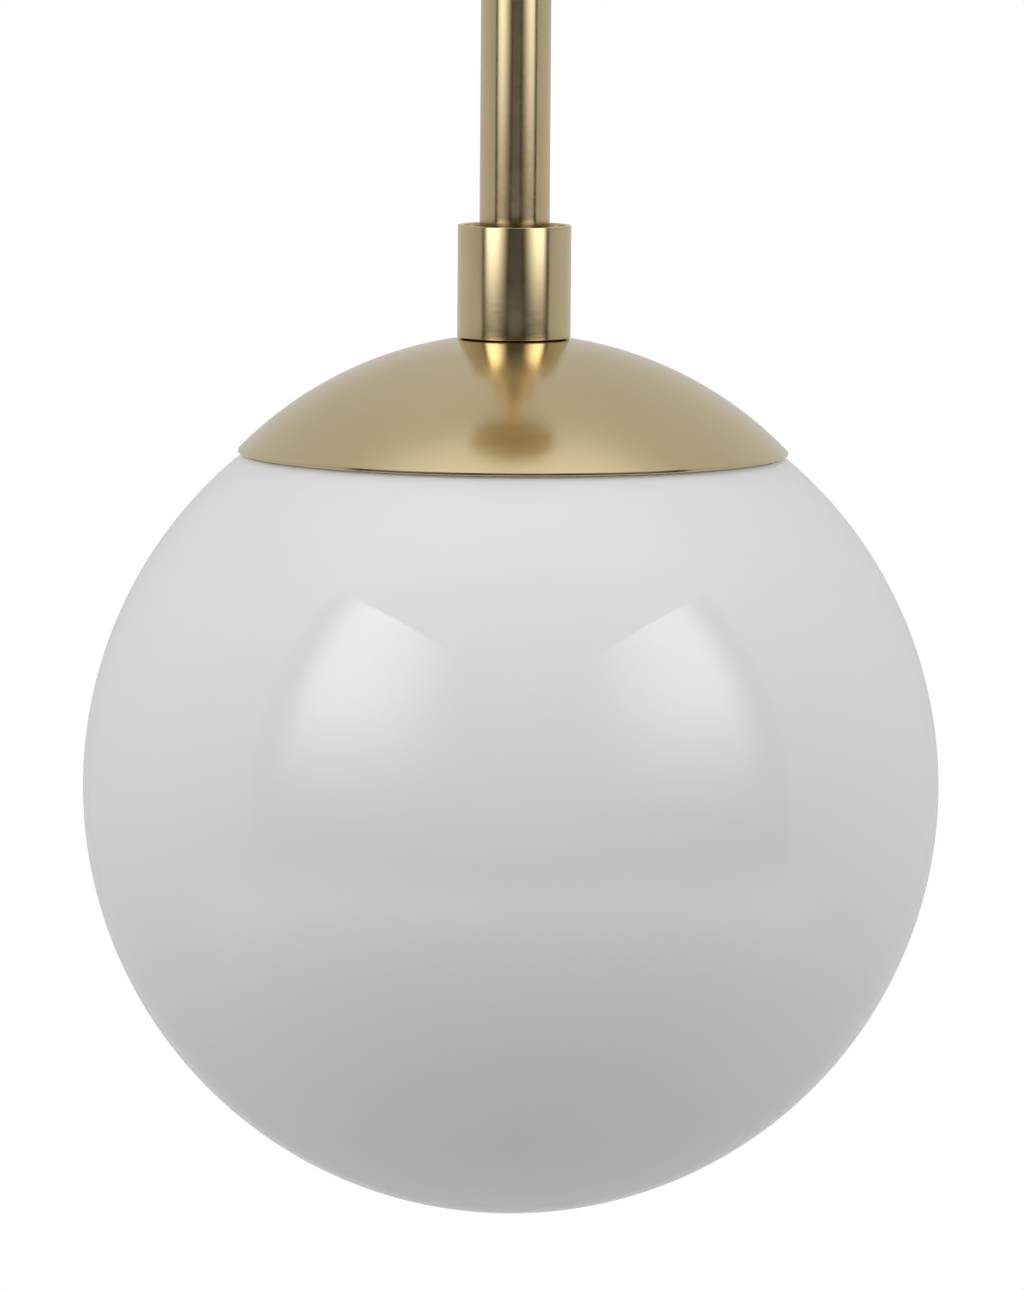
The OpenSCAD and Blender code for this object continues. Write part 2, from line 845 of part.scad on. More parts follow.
module terminal_strip(y0, y1, rivet_y) {
    color(brass)
        difference() {
            translate([-strip_w / 2, min(y0, y1), channel_z]) cube([strip_w, abs(y1 - y0), strip_t]);
            translate([0, rivet_y, channel_z - 1]) cylinder(r = rivet_r + thread_gap, h = 3);
            at_terminals() translate([0, 0, channel_z - 1]) cylinder(r = screw_r + thread_gap, h = 3);
        }
}

module line_terminal() { terminal_strip(line_strip_y, strip_end_y, line_rivet_y); }
module neutral_terminal() { terminal_strip(neutral_strip_y, -strip_end_y, neutral_rivet_y); }

module terminal_screw(side) {
    translate([0, side * screw_y, channel_z])
        difference() {
            union() {
                translate([0, 0, -terminal_shank])
                    cylinder(r = screw_r, h = terminal_shank + terminal_head_up + 0.1);
                translate([0, 0, terminal_head_up]) cylinder(r = screw_head_r, h = terminal_head_h);
            }
            screw_slot(terminal_head_up + terminal_head_h);
        }
}

module line_screw() { color(brass) terminal_screw(1); }
module neutral_screw() { color(steel) terminal_screw(-1); }

// A lead from its terminal up the stem, out of the ball and over into its connector
module stem_lead(side) {
    lead([
        [0, side * lead_end_y, lead_run_z],
        [0, side * lead_side, lead_run_z],
        [0, side * lead_side, lead_top],
        [side * connector_x, 0, lead_top],
        [side * connector_x, 0, connector_top - stem_lead_in],
    ], stem_lead_bend, lead_r);
    translate([0, side * (lead_end_y + lead_bare_len / 2 - lead_bare_lap), lead_run_z])
        rotate([90, 0, 0])
            cylinder(r = lead_bare_r, h = lead_bare_len + 2 * lead_bare_lap, center = true);
}

module line_lead() { color("black") stem_lead(1); }
module neutral_lead() { color("white") stem_lead(-1); }

// Collar, globe and bulb ------------------------------------------------------

module collar() {
    color(brass) ring(collar_r, collar_in_r, collar_low, collar_h);
}

module globe() {
    color(opal)
        translate([0, 0, globe_z])
            difference() {
                sphere(globe_r, $fn = 160);
                sphere(globe_in_r, $fn = 160);
                cylinder(r = opening_r, h = globe_r + 1, $fn = 128);
            }
}

module bulb_base() {
    color(steel)
        ring(bulb_base_r, bulb_base_r - bulb_shell_wall, bulb_shell_low,
            bulb_shell_top - bulb_shell_low);
}

module bulb_insulator() {
    color("black")
        turned([
            [0, bulb_shell_top - 1], [bulb_neck_r, bulb_shell_top - 1],
            [bulb_neck_r, bulb_shell_top],
            [bulb_tip_r, bulb_top - bulb_tip_t], [0, bulb_top - bulb_tip_t],
        ]);
}

module bulb_tip() {
    color(steel)
        turned([
            [0, bulb_top - bulb_tip_t], [bulb_tip_r, bulb_top - bulb_tip_t],
            [bulb_tip_r - 0.5, bulb_top - 0.3], [bulb_tip_face_r, bulb_top], [0, bulb_top],
        ]);
}

module bulb_housing() {
    color("white")
        turned([
            [bulb_neck_r - bulb_wall, bulb_shell_low + bulb_neck_h],
            [bulb_neck_r, bulb_shell_low + bulb_neck_h],
            [bulb_neck_r, bulb_shell_low], [bulb_base_r + bulb_collar_out[0], bulb_shell_low],
            [bulb_base_r + bulb_collar_out[1], bulb_shell_low - bulb_collar_h],
            [bulb_seam_r, bulb_seam], [bulb_seam_r - bulb_wall, bulb_seam],
            [bulb_base_r - bulb_wall, bulb_shell_low - bulb_collar_h],
            [bulb_neck_r - bulb_wall, bulb_shell_low],
        ]);
}

module bulb_board() {
    color("aliceblue")
        ring(bulb_seam_r - bulb_wall - board_gap, board_hole_r, bulb_seam, board_t);
}

module bulb_leds() {
    color("khaki")
        for (i = [0 : led_count - 1])
            rotate([0, 0, 360 / led_count * i])
                translate([led_at_r, -led_size[1] / 2, bulb_seam - led_size[2]]) cube(led_size);
}

module bulb_driver() {
    low = bulb_seam + board_t;
    color("darkgreen")
        translate([-driver_w / 2, -driver_t / 2, low])
            cube([driver_w, driver_t, bulb_shell_low + driver_in_neck - low]);
}

module bulb_diffuser() {
    color(opal)
        rotate_extrude()
            intersection() {
                difference() {
                    translate([0, bulb_centre]) circle(bulb_r);
                    translate([0, bulb_centre]) circle(bulb_r - 1);
                }
                translate([0, bulb_end - 1]) square([bulb_r + 1, bulb_seam - bulb_end + 1]);
            }
}

canopy();
crossbar();
canopy_studs();
stud_lock_nuts();
canopy_cap_nuts();
ground_screw();
ground_lead();
ground_connector();
swivel_cup();
ball_keeper();
swivel_seat();
lead_connectors();
swivel_ball();
ball_bushing();
neck_nut();
upper_rod();
rod_coupling();
lower_rod();
lower_nipple();
stem_lock_nut();
cap_washer();
cap();
cap_spacer();
spring_hub();
hub_nut();
spring_arm_1();
spring_arm_2();
spring_arm_3();
arm_rivets();
shade_gasket();
holder_bracket();
bracket_nut();
bracket_screws();
nipple_bushing();
holder_body();
holder_shell();
holder_contact();
holder_rivets();
line_terminal();
neutral_terminal();
line_screw();
neutral_screw();
line_lead();
neutral_lead();
collar();
globe();
bulb_base();
bulb_insulator();
bulb_tip();
bulb_housing();
bulb_board();
bulb_leds();
bulb_driver();
bulb_diffuser();
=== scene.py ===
import math
import bpy
import bmesh
from mathutils import Matrix, Vector


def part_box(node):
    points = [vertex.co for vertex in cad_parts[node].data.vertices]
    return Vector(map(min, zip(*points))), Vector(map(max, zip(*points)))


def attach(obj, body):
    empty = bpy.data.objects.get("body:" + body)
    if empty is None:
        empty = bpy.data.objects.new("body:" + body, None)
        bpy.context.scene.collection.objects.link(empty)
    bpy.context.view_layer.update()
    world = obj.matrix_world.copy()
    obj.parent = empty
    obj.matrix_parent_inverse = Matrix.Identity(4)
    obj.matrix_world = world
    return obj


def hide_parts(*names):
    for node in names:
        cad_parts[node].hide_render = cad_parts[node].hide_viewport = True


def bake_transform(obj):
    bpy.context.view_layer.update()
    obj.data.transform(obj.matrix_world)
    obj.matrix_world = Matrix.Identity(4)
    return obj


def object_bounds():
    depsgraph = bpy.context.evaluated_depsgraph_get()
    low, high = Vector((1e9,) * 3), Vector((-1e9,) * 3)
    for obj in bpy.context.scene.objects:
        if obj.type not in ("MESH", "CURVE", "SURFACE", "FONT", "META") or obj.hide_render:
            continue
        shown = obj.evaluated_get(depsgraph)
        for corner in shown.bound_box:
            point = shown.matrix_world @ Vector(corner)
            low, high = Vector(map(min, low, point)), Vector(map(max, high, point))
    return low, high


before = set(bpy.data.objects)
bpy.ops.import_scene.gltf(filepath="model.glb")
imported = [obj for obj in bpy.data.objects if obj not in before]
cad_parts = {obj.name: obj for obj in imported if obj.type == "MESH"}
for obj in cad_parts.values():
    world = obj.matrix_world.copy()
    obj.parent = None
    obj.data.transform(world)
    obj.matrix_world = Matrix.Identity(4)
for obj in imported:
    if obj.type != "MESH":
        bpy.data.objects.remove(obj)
cad_low, cad_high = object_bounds()
scene = bpy.context.scene
mm = 0.001

# ---------------------------------------------------------------------------------------------
# Crossbar. The flat steel strap that the ceiling box carries: punched from 2 mm strip, with a
# slot for each box screw, and zinc plated.


def solid(bm):
    """Closes a bmesh: its doubles are merged and its faces point outwards."""
    bmesh.ops.remove_doubles(bm, verts=bm.verts, dist=1e-6)
    bmesh.ops.recalc_face_normals(bm, faces=bm.faces)
    return bm


def block(low, high, soft=0.0, turn=0.0, at=(0, 0, 0)):
    """A square-edged bar from one corner to the other, its edges eased by soft."""
    low, high = Vector(low), Vector(high)
    bm = bmesh.new()
    bmesh.ops.create_cube(bm, size=1)
    bmesh.ops.scale(bm, vec=high - low, verts=bm.verts)
    bmesh.ops.translate(bm, vec=(low + high) / 2, verts=bm.verts)
    if soft:
        bmesh.ops.bevel(bm, geom=bm.edges[:], offset=soft, segments=2, profile=0.5,
                        affect="EDGES", material=-1)
    bmesh.ops.rotate(bm, cent=(0, 0, 0), matrix=Matrix.Rotation(turn, 3, "Z"), verts=bm.verts)
    bmesh.ops.translate(bm, vec=at, verts=bm.verts)
    return solid(bm)


def peg(radius, z0, z1, at=(0, 0), sides=40):
    """A plain round bar, or the drill for a round hole."""
    bm = bmesh.new()
    bmesh.ops.create_cone(bm, cap_ends=True, segments=sides, radius1=radius, radius2=radius,
                          depth=z1 - z0)
    bmesh.ops.translate(bm, vec=(at[0], at[1], (z0 + z1) / 2), verts=bm.verts)
    return bm


def as_object(bm, name):
    mesh = bpy.data.meshes.new(name)
    bm.to_mesh(mesh)
    bm.free()
    obj = bpy.data.objects.new(name, mesh)
    scene.collection.objects.link(obj)
    return obj


def carve(bm, cutters, mode="DIFFERENCE"):
    """Cuts each cutter out of a solid, as a drill or a punch does."""
    work = as_object(bm, "work")
    tools = [as_object(c, "tool") for c in cutters]
    for tool in tools:
        cut = work.modifiers.new("cut", "BOOLEAN")
        cut.operation = mode
        cut.solver = "EXACT"
        cut.object = tool
    graph = bpy.context.evaluated_depsgraph_get()
    out = bmesh.new()
    out.from_mesh(work.evaluated_get(graph).to_mesh())
    for obj in [work] + tools:
        bpy.data.objects.remove(obj)
    bmesh.ops.dissolve_degenerate(out, dist=1e-6, edges=out.edges)
    return solid(out)


def piece(name, shapes, body, finish, nodes=(), sharp=32, soft=0.0):
    """Joins shapes into one piece of the lamp, gives it its finish and hangs it on its body."""
    mesh = bpy.data.meshes.new(name)
    whole = bmesh.new()
    for shape in shapes if isinstance(shapes, list) else [shapes]:
        part = bpy.data.meshes.new("part")
        shape.to_mesh(part)
        shape.free()
        whole.from_mesh(part)
        bpy.data.meshes.remove(part)
    whole.to_mesh(mesh)
    whole.free()
    mesh.polygons.foreach_set("use_smooth", [True] * len(mesh.polygons))
    mesh.set_sharp_from_angle(angle=math.radians(sharp))
    mesh.materials.append(finish)
    obj = bpy.data.objects.new(name, mesh)
    scene.collection.objects.link(obj)
    if soft:
        ease = obj.modifiers.new("eased_edges", "BEVEL")
        ease.width = soft
        ease.segments = 2
        ease.limit_method = "ANGLE"
        ease.angle_limit = math.radians(50)
        ease.harden_normals = True
    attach(obj, body)
    if nodes:
        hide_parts(*nodes)
    return obj


def finish(name, colour, metallic, roughness, **sockets):
    """A new material with its shader's plain values set; returns it with its node maker."""
    mat = bpy.data.materials.new(name)
    mat.use_nodes = True
    tree = mat.node_tree
    shader = tree.nodes["Principled BSDF"]
    shader.inputs["Base Color"].default_value = (*colour, 1)
    shader.inputs["Metallic"].default_value = metallic
    shader.inputs["Roughness"].default_value = roughness
    for socket, value in sockets.items():
        shader.inputs[socket.replace("_", " ")].default_value = value
    return mat, tree, shader


def node(tree, kind, values=(), **settings):
    """Adds a node; values are (socket, constant or link) pairs."""
    made = tree.nodes.new("ShaderNode" + kind)
    for key, value in settings.items():
        setattr(made, key, value)
    for socket, value in values:
        if isinstance(value, bpy.types.NodeSocket):
            tree.links.new(value, made.inputs[socket])
        else:
            made.inputs[socket].default_value = value
    return made


def place(tree, centre=(0, 0, 0)):
    """The surface's own position, counted from centre."""
    coords = node(tree, "TexCoord").outputs["Object"]
    return node(tree, "VectorMath", [(0, coords), (1, centre)], operation="SUBTRACT").outputs[0]


def grain(tree, vector, scale, detail=3.0, roughness=0.55):
    made = node(tree, "TexNoise", [("Vector", vector), ("Scale", scale), ("Detail", detail),
                                   ("Roughness", roughness)])
    return made.outputs["Fac"]


def spread(tree, value, low, high, from_low=0.3, from_high=0.7):
    """Stretches a noise value over low to high."""
    made = node(tree, "MapRange", [("Value", value), ("From Min", from_low),
                                   ("From Max", from_high), ("To Min", low), ("To Max", high)])
    return made.outputs["Result"]


def tint(tree, shader, value, low, high):
    """Colours the surface from low to high as value goes from 0 to 1."""
    mix = node(tree, "Mix", [(0, value), (6, (*low, 1)), (7, (*high, 1))], data_type="RGBA")
    tree.links.new(mix.outputs[2], shader.inputs["Base Color"])


def bump(tree, shader, height, distance, strength=1.0):
    made = node(tree, "Bump", [("Height", height), ("Distance", distance),
                               ("Strength", strength)])
    tree.links.new(made.outputs["Normal"], shader.inputs["Normal"])


def mottled(name, colour, metallic, rough, cloud, low, high, shine=None, relief=None,
            centre=(0, 0, 0), **sockets):
    """A finish that drifts between two shades over a cloud of (scale, detail). Its roughness may
    vary by (scale, detail, low, high) and its relief by (scale, detail, depth, strength)."""
    mat, tree, shader = finish(name, colour, metallic, rough, **sockets)
    where = place(tree, centre)
    tint(tree, shader, spread(tree, grain(tree, where, *cloud), 0, 1), low, high)
    if shine:
        tree.links.new(spread(tree, grain(tree, where, *shine[:2]), *shine[2:]),
                       shader.inputs["Roughness"])
    if relief:
        bump(tree, shader, grain(tree, where, *relief[:2]), *relief[2:])
    return mat


def zinc_plate(name, colour=(0.62, 0.63, 0.64), high=(0.72, 0.72, 0.70), rough=0.34):
    """Bright zinc: faint spangle, patchy shine and fine handling scratches."""
    mat = mottled(name, colour, 1.0, rough, (90, 4), colour, high,
                  shine=(300, 5, rough - 0.08, rough + 0.12))
    tree = mat.node_tree
    scratch_way = (200, 2600, 2600)
    stretched = node(tree, "VectorMath", [(0, place(tree)), (1, scratch_way)],
                     operation="MULTIPLY").outputs[0]
    bump(tree, tree.nodes["Principled BSDF"], grain(tree, stretched, 1, 2), 0.00002, 0.6)
    return mat


zinc = zinc_plate("zinc_plate")

bar_low, bar_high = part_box("crossbar")
box_screw_x = 44.45 * mm
stud_x = 34 * mm
slot_w = 4.8 * mm
slot_run = 3.2 * mm
stud_r = 2.1 * mm
hub_hole = 5 * mm
clearance = 0.1 * mm
corner_r = 3 * mm
ground_low, ground_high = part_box("ground_screw")
ground_at = (ground_low + ground_high) / 2
under = bar_low.z - mm
punches = [peg(hub_hole, under, mm, (0, 0), 64),
           peg(stud_r + clearance, under, mm, (ground_at.x, ground_at.y))]
for side in (-1, 1):
    punches.append(peg(stud_r + clearance, under, mm, (side * stud_x, 0)))
    slot_at = side * box_screw_x
    for end in (-1, 1):
        punches.append(peg(slot_w / 2, under, mm, (slot_at + end * slot_run / 2, 0)))
    punches.append(block((slot_at - slot_run / 2, -slot_w / 2, under),
                         (slot_at + slot_run / 2, slot_w / 2, mm)))
strap = block(bar_low, bar_high)
upright = [e for e in strap.edges if abs(e.verts[0].co.z - e.verts[1].co.z) > mm]
bmesh.ops.bevel(strap, geom=upright, offset=corner_r, segments=6, profile=0.5, affect="EDGES",
                material=-1)
piece("crossbar_strap", carve(strap, punches), "ceiling", zinc, ["crossbar"],
      soft=0.2 * mm)

# ---------------------------------------------------------------------------------------------
# Canopy studs and their lock nuts. Two 8-32 steel studs screwed down through the strap, each
# locked under it by a small hexagon nut; the canopy hangs on their lower ends.


def turned(outline, soft=0.0, closed=True, steps=96, at=(0, 0)):
    """A lathe: turns an outline of (radius, height) points round the vertical through at.
    A third value in a point is that corner's own rounding. An open outline ends on the axis."""
    bm = bmesh.new()
    verts = [bm.verts.new((p[0], 0, p[1])) for p in outline]
    for i in range(0 if closed else 1, len(verts)):
        bm.edges.new((verts[i - 1], verts[i]))
    rounds = {}
    for v, p in zip(verts, outline):
        size = p[2] if len(p) > 2 else soft
        if size and p[0] > 1e-7:
            rounds.setdefault(size, []).append(v)
    for size, corner in rounds.items():
        bmesh.ops.bevel(bm, geom=corner, offset=size, segments=4, profile=0.5,
                        affect="VERTICES", material=-1)
    bmesh.ops.spin(bm, geom=bm.verts[:] + bm.edges[:], cent=(0, 0, 0), axis=(0, 0, 1),
                   angle=math.radians(360), steps=steps, use_merge=True)
    bmesh.ops.translate(bm, vec=(at[0], at[1], 0), verts=bm.verts)
    return solid(bm)


def wound(profile, pitch, z0, z1, steps):
    """The skin of a thread: one pitch of its profile, as (radius, part of the pitch) points,
    wound up a helix and trimmed at z0 and z1."""
    turns = math.ceil((z1 - z0) / pitch) + 2
    bm = bmesh.new()
    line = [bm.verts.new((radius, 0, z0 - pitch + pitch * part)) for radius, part in profile]
    edges = [bm.edges.new(pair) for pair in zip(line, line[1:])]
    bmesh.ops.spin(bm, geom=line + edges, cent=(0, 0, 0), axis=(0, 0, 1),
                   dvec=(0, 0, pitch / steps), angle=2 * math.pi * turns, steps=steps * turns)
    bmesh.ops.remove_doubles(bm, verts=bm.verts, dist=pitch / 200)
    for z, above in ((z0, False), (z1, True)):
        bmesh.ops.bisect_plane(bm, geom=bm.verts[:] + bm.edges[:] + bm.faces[:],
                               plane_co=(0, 0, z), plane_no=(0, 0, 1), clear_outer=above,
                               clear_inner=not above)
    return bm


def thread(outer, depth, pitch, z0, z1, bore=0.0, at=(0, 0), steps=32):
    """A screw thread from z0 to z1, closed by flat ends and by its bore."""
    root = outer - depth
    bm = wound([(root, 0), (outer, 0.4), (outer, 0.5), (root, 0.9), (root, 1)], pitch, z0, z1,
               steps)
    rims = [e for e in bm.edges if e.is_boundary]
    if bore:
        for z in (z0, z1):
            rim = [e for e in rims if e.is_valid and all(abs(v.co.z - z) < 1e-6 for v in e.verts)]
            ring = bmesh.ops.create_circle(bm, segments=steps, radius=bore,
                                           matrix=Matrix.Translation((0, 0, z)))["verts"]
            loop = [e for e in bm.edges if e.verts[0] in ring and e.verts[1] in ring]
            bmesh.ops.bridge_loops(bm, edges=rim + loop)
        inner = [e for e in bm.edges if e.is_boundary]
        bmesh.ops.bridge_loops(bm, edges=inner)
    else:
        bmesh.ops.holes_fill(bm, edges=rims, sides=0)
    bmesh.ops.translate(bm, vec=(at[0], at[1], 0), verts=bm.verts)
    return solid(bm)


def hex_nut(flats, bore, z0, z1, at=(0, 0), turn=0.0):
    """A hexagon nut with its corners turned off top and bottom and its bore countersunk."""
    corner = flats / math.sqrt(3)
    slope = (corner - flats / 2) * 0.5
    sink = 0.3 * mm
    drum_r = corner + 0.01 * mm
    bar = bmesh.new()
    bmesh.ops.create_cone(bar, cap_ends=True, segments=6, radius1=corner, radius2=corner,
                          depth=z1 - z0)
    bmesh.ops.rotate(bar, cent=(0, 0, 0), verts=bar.verts,
                     matrix=Matrix.Rotation(math.radians(30) + turn, 3, "Z"))
    bmesh.ops.translate(bar, vec=(0, 0, (z0 + z1) / 2), verts=bar.verts)
    drum = turned([(bore, z0 + sink), (bore + sink, z0), (flats / 2, z0), (drum_r, z0 + slope),
                   (drum_r, z1 - slope), (flats / 2, z1), (bore + sink, z1), (bore, z1 - sink)],
                  steps=48)
    nut = carve(drum, [bar], "INTERSECT")
    bmesh.ops.translate(nut, vec=(at[0], at[1], 0), verts=nut.verts)
    return nut


stud_low, stud_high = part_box("canopy_studs")
stud_depth, stud_pitch = 0.35 * mm, 0.79 * mm
nut_low, nut_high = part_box("stud_lock_nuts")
nut_flats, nut_turn = 7 * mm, 0.3
piece("canopy_stud_pair",
      [thread(stud_r, stud_depth, stud_pitch, stud_low.z, stud_high.z, at=(s * stud_x, 0),
              steps=20) for s in (-1, 1)], "ceiling", zinc, ["canopy_studs"])
piece("stud_lock_nut_pair",
      [hex_nut(nut_flats, stud_r + 0.05 * mm, nut_low.z, nut_high.z, (s * stud_x, 0),
               s * nut_turn) for s in (-1, 1)],
      "ceiling", zinc, ["stud_lock_nuts"])

# ---------------------------------------------------------------------------------------------
# Canopy. A drum spun from 1 mm brass sheet with a soft bottom edge and a flat rim turned in
# against the ceiling, brushed round on the lathe and lacquered.


def arc(centre_r, centre_z, radius, start, end, steps):
    """Points along an arc, its angles in degrees from straight out, up positive."""
    angles = [math.radians(start + (end - start) * k / steps) for k in range(steps + 1)]
    return [(centre_r + radius * math.cos(a), centre_z + radius * math.sin(a)) for a in angles]


brass_pale = (0.715, 0.583, 0.345)
brass_deep = (0.68, 0.548, 0.318)


def satin_brass(name, rough=0.24, lines=1.0, drag=0.7):
    """Satin brass under clear lacquer. Fine brushing runs round the piece, as it was turned or
    spun against the pad; broad patches vary its shine and colour a little."""
    mat, tree, shader = finish(name, brass_pale, 1.0, rough, Anisotropic=drag,
                               Anisotropic_Rotation=0.25, Coat_Weight=0.08, Coat_Roughness=0.1)
    where = place(tree)
    flat = node(tree, "VectorMath", [(0, where), (1, (1, 1, 0))], operation="MULTIPLY").outputs[0]
    out = node(tree, "VectorMath", [(0, flat)], operation="LENGTH").outputs["Value"]
    round_way = node(tree, "VectorMath", [(0, flat)], operation="NORMALIZE").outputs[0]
    slow = node(tree, "VectorMath", [(0, round_way), (1, (5, 5, 0))],
                operation="MULTIPLY").outputs[0]
    rise = node(tree, "VectorMath", [(0, where), (1, (0, 0, 3600))],
                operation="MULTIPLY").outputs[0]
    spot = node(tree, "VectorMath", [(0, slow), (1, rise)], operation="ADD").outputs[0]
    fast = node(tree, "Math", [(0, out), (1, 3600)], operation="MULTIPLY").outputs[0]
    noise = node(tree, "TexNoise", [("Vector", spot), ("W", fast), ("Scale", 1),
                                    ("Detail", 2), ("Roughness", 0.6)],
                 noise_dimensions="4D")
    brush = noise.outputs["Fac"]
    cloud = grain(tree, where, 45, 3)
    tint(tree, shader, spread(tree, cloud, 0, 1), brass_pale, brass_deep)
    fine = spread(tree, brush, -0.025, 0.025)
    broad = spread(tree, grain(tree, where, 30, 4), rough - 0.015, rough + 0.02)
    total = node(tree, "Math", [(0, fine), (1, broad)], operation="ADD", use_clamp=True)
    tree.links.new(total.outputs[0], shader.inputs["Roughness"])
    tangent = node(tree, "Tangent", direction_type="RADIAL", axis="Z")
    tree.links.new(tangent.outputs[0], shader.inputs["Tangent"])
    bump(tree, shader, brush, 0.0000016 * lines)
    return mat


turned_brass = satin_brass("turned_brass")
can_low, can_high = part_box("canopy")
can_r = can_high.x
can_wall = 1 * mm
can_edge = 4 * mm
can_rim = 3.5 * mm
cup_low, cup_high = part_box("swivel_cup")
cup_hole = 15.15 * mm
stud_hole = 2.4 * mm
can_in = can_r - can_wall
can_floor = can_low.z + can_wall
shell = turned([
    (cup_hole, can_low.z, 0.2 * mm), (can_r, can_low.z, can_edge), (can_r, 0, 1.2 * mm),
    (can_r - can_rim, 0, 0.3 * mm), (can_r - can_rim, -can_wall, 0.3 * mm),
    (can_in, -can_wall, 0.4 * mm), (can_in, can_floor, can_edge - can_wall),
    (cup_hole, can_floor, 0.2 * mm)], steps=160)
holes = [peg(stud_hole, can_low.z - mm, can_low.z + 2 * mm, (s * stud_x, 0)) for s in (-1, 1)]
piece("canopy_drum", carve(shell, holes), "ceiling", turned_brass, ["canopy"])

# ---------------------------------------------------------------------------------------------
# Cap nuts. Two small brass nuts with a straight-knurled skirt and a domed end, turned up on the
# studs by hand until the canopy meets the ceiling.


def fluted(radius, depth, flutes, z0, z1, at=(0, 0), top=1.0, soft=0.15):
    """A round bar with straight flutes or knurls, tapering to top times its size."""
    bm = bmesh.new()
    ring = bmesh.ops.create_circle(bm, cap_ends=True, segments=flutes * 4, radius=radius,
                                   matrix=Matrix.Translation((0, 0, z0)))["verts"]
    for v in ring:
        angle = math.atan2(v.co.y, v.co.x)
        cut = depth * (0.5 - 0.5 * math.cos(flutes * angle))
        v.co.x -= cut * math.cos(angle)
        v.co.y -= cut * math.sin(angle)
    lift = bmesh.ops.extrude_face_region(bm, geom=bm.faces[:])["geom"]
    upper = [v for v in lift if isinstance(v, bmesh.types.BMVert)]
    bmesh.ops.translate(bm, vec=(0, 0, z1 - z0), verts=upper)
    bmesh.ops.scale(bm, vec=(top, top, 1), verts=upper)
    rims = [e for e in bm.edges if abs(e.verts[0].co.z - e.verts[1].co.z) < 1e-7]
    bmesh.ops.bevel(bm, geom=rims, offset=soft * mm, segments=2, profile=0.5, affect="EDGES",
                    material=-1)
    bmesh.ops.translate(bm, vec=(at[0], at[1], 0), verts=bm.verts)
    return solid(bm)


def corners(z, *points):
    """Corners of an outline, each its radius, height above z and rounding in millimetres."""
    return [(p[0] * mm, z + p[1] * mm, *[value * mm for value in p[2:]]) for p in points]


knob_low, knob_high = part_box("canopy_cap_nuts")
knob_r = 6 * mm
knurl_depth, knurls = 0.35 * mm, 40
skirt_low, skirt_high = knob_low.z + 4.2 * mm, knob_high.z - 1.2 * mm
crown = corners(knob_low.z, (0, 0), (2.2, 0.1, 0.4), (4.6, 1.3, 1.2), (5.3, 3.6, 0.5),
                (5.3, 4.6), (0, 4.6))
mouth = corners(knob_high.z, (0, -1.6), (5.5, -1.6), (5.5, 0, 0.3), (2.3, 0), (2.3, -1),
                (0, -1))
knobs = []
for side in (-1, 1):
    at = (side * stud_x, 0)
    knobs.append(fluted(knob_r, knurl_depth, knurls, skirt_low, skirt_high, at))
    knobs += [turned(end, closed=False, at=at, steps=64) for end in (crown, mouth)]
piece("canopy_knurled_nuts", knobs, "ceiling", turned_brass, ["canopy_cap_nuts"])

# ---------------------------------------------------------------------------------------------
# Ground screw and ground lead. A green dyed screw in the strap, with the bare end of a green
# insulated lead hooked under its head and its far end in a twist-on connector.


def screw(head_r, head_h, shank_r, shank_len, z, at=(0, 0), turn=0.0, slot=0.8, up=True):
    """A slotted pan-head screw whose head stands on z, its shank the other way."""
    ease = head_h * 0.3
    head = turned([(0, head_h), (head_r * 0.55, head_h, ease), (head_r, head_h * 0.45, ease),
                   (head_r, 0), (0, 0)], closed=False, steps=48)
    half = slot * mm / 2
    head = carve(head, [block((-head_r * 2, -half, head_h * 0.5),
                              (head_r * 2, half, head_h * 2), turn=turn)])
    depth, pitch = 0.3 * mm, 0.75 * mm
    shank = thread(shank_r, depth, pitch, -shank_len, 0.2 * mm, steps=20)
    for bm in (head, shank):
        if not up:
            bmesh.ops.rotate(bm, cent=(0, 0, 0), matrix=Matrix.Rotation(math.pi, 3, "X"),
                             verts=bm.verts)
        bmesh.ops.translate(bm, vec=(at[0], at[1], z), verts=bm.verts)
    return [head, shank]


def insulation(name, colour, high):
    """Extruded lead insulation: a waxy skin, slightly uneven, with handling marks."""
    return mottled(name, colour, 0.0, 0.42, (160, 4), colour, high,
                   shine=(700, 3, 0.34, 0.54), relief=(900, 3, 0.00003, 0.5))


def rounded_run(corners, bend, steps=8):
    """The corners of a route with each inner corner rounded to radius bend."""
    corners = [Vector(c) for c in corners]
    run = [corners[0]]
    for before, here, after in zip(corners, corners[1:], corners[2:]):
        u, v = (before - here).normalized(), (after - here).normalized()
        half = u.angle(v) / 2
        reach = bend / math.tan(half)
        centre = here + (u + v).normalized() * bend / math.sin(half)
        start, end = here + u * reach - centre, here + v * reach - centre
        for k in range(steps + 1):
            run.append(centre + start.slerp(end, k / steps).normalized() * bend)
    return run + [corners[-1]]


def wire(run, radius, sides=12):
    """A round wire along a run of points."""
    path = bpy.data.curves.new("run", "CURVE")
    path.dimensions = "3D"
    spline = path.splines.new("POLY")
    spline.points.add(len(run) - 1)
    for point, spot in zip(spline.points, run):
        point.co = (*spot, 1)
    path.bevel_depth = radius
    path.bevel_resolution = sides // 4
    path.use_fill_caps = True
    obj = bpy.data.objects.new("run", path)
    scene.collection.objects.link(obj)
    bm = bmesh.new()
    bm.from_mesh(obj.evaluated_get(bpy.context.evaluated_depsgraph_get()).to_mesh())
    bpy.data.objects.remove(obj)
    return solid(bm)


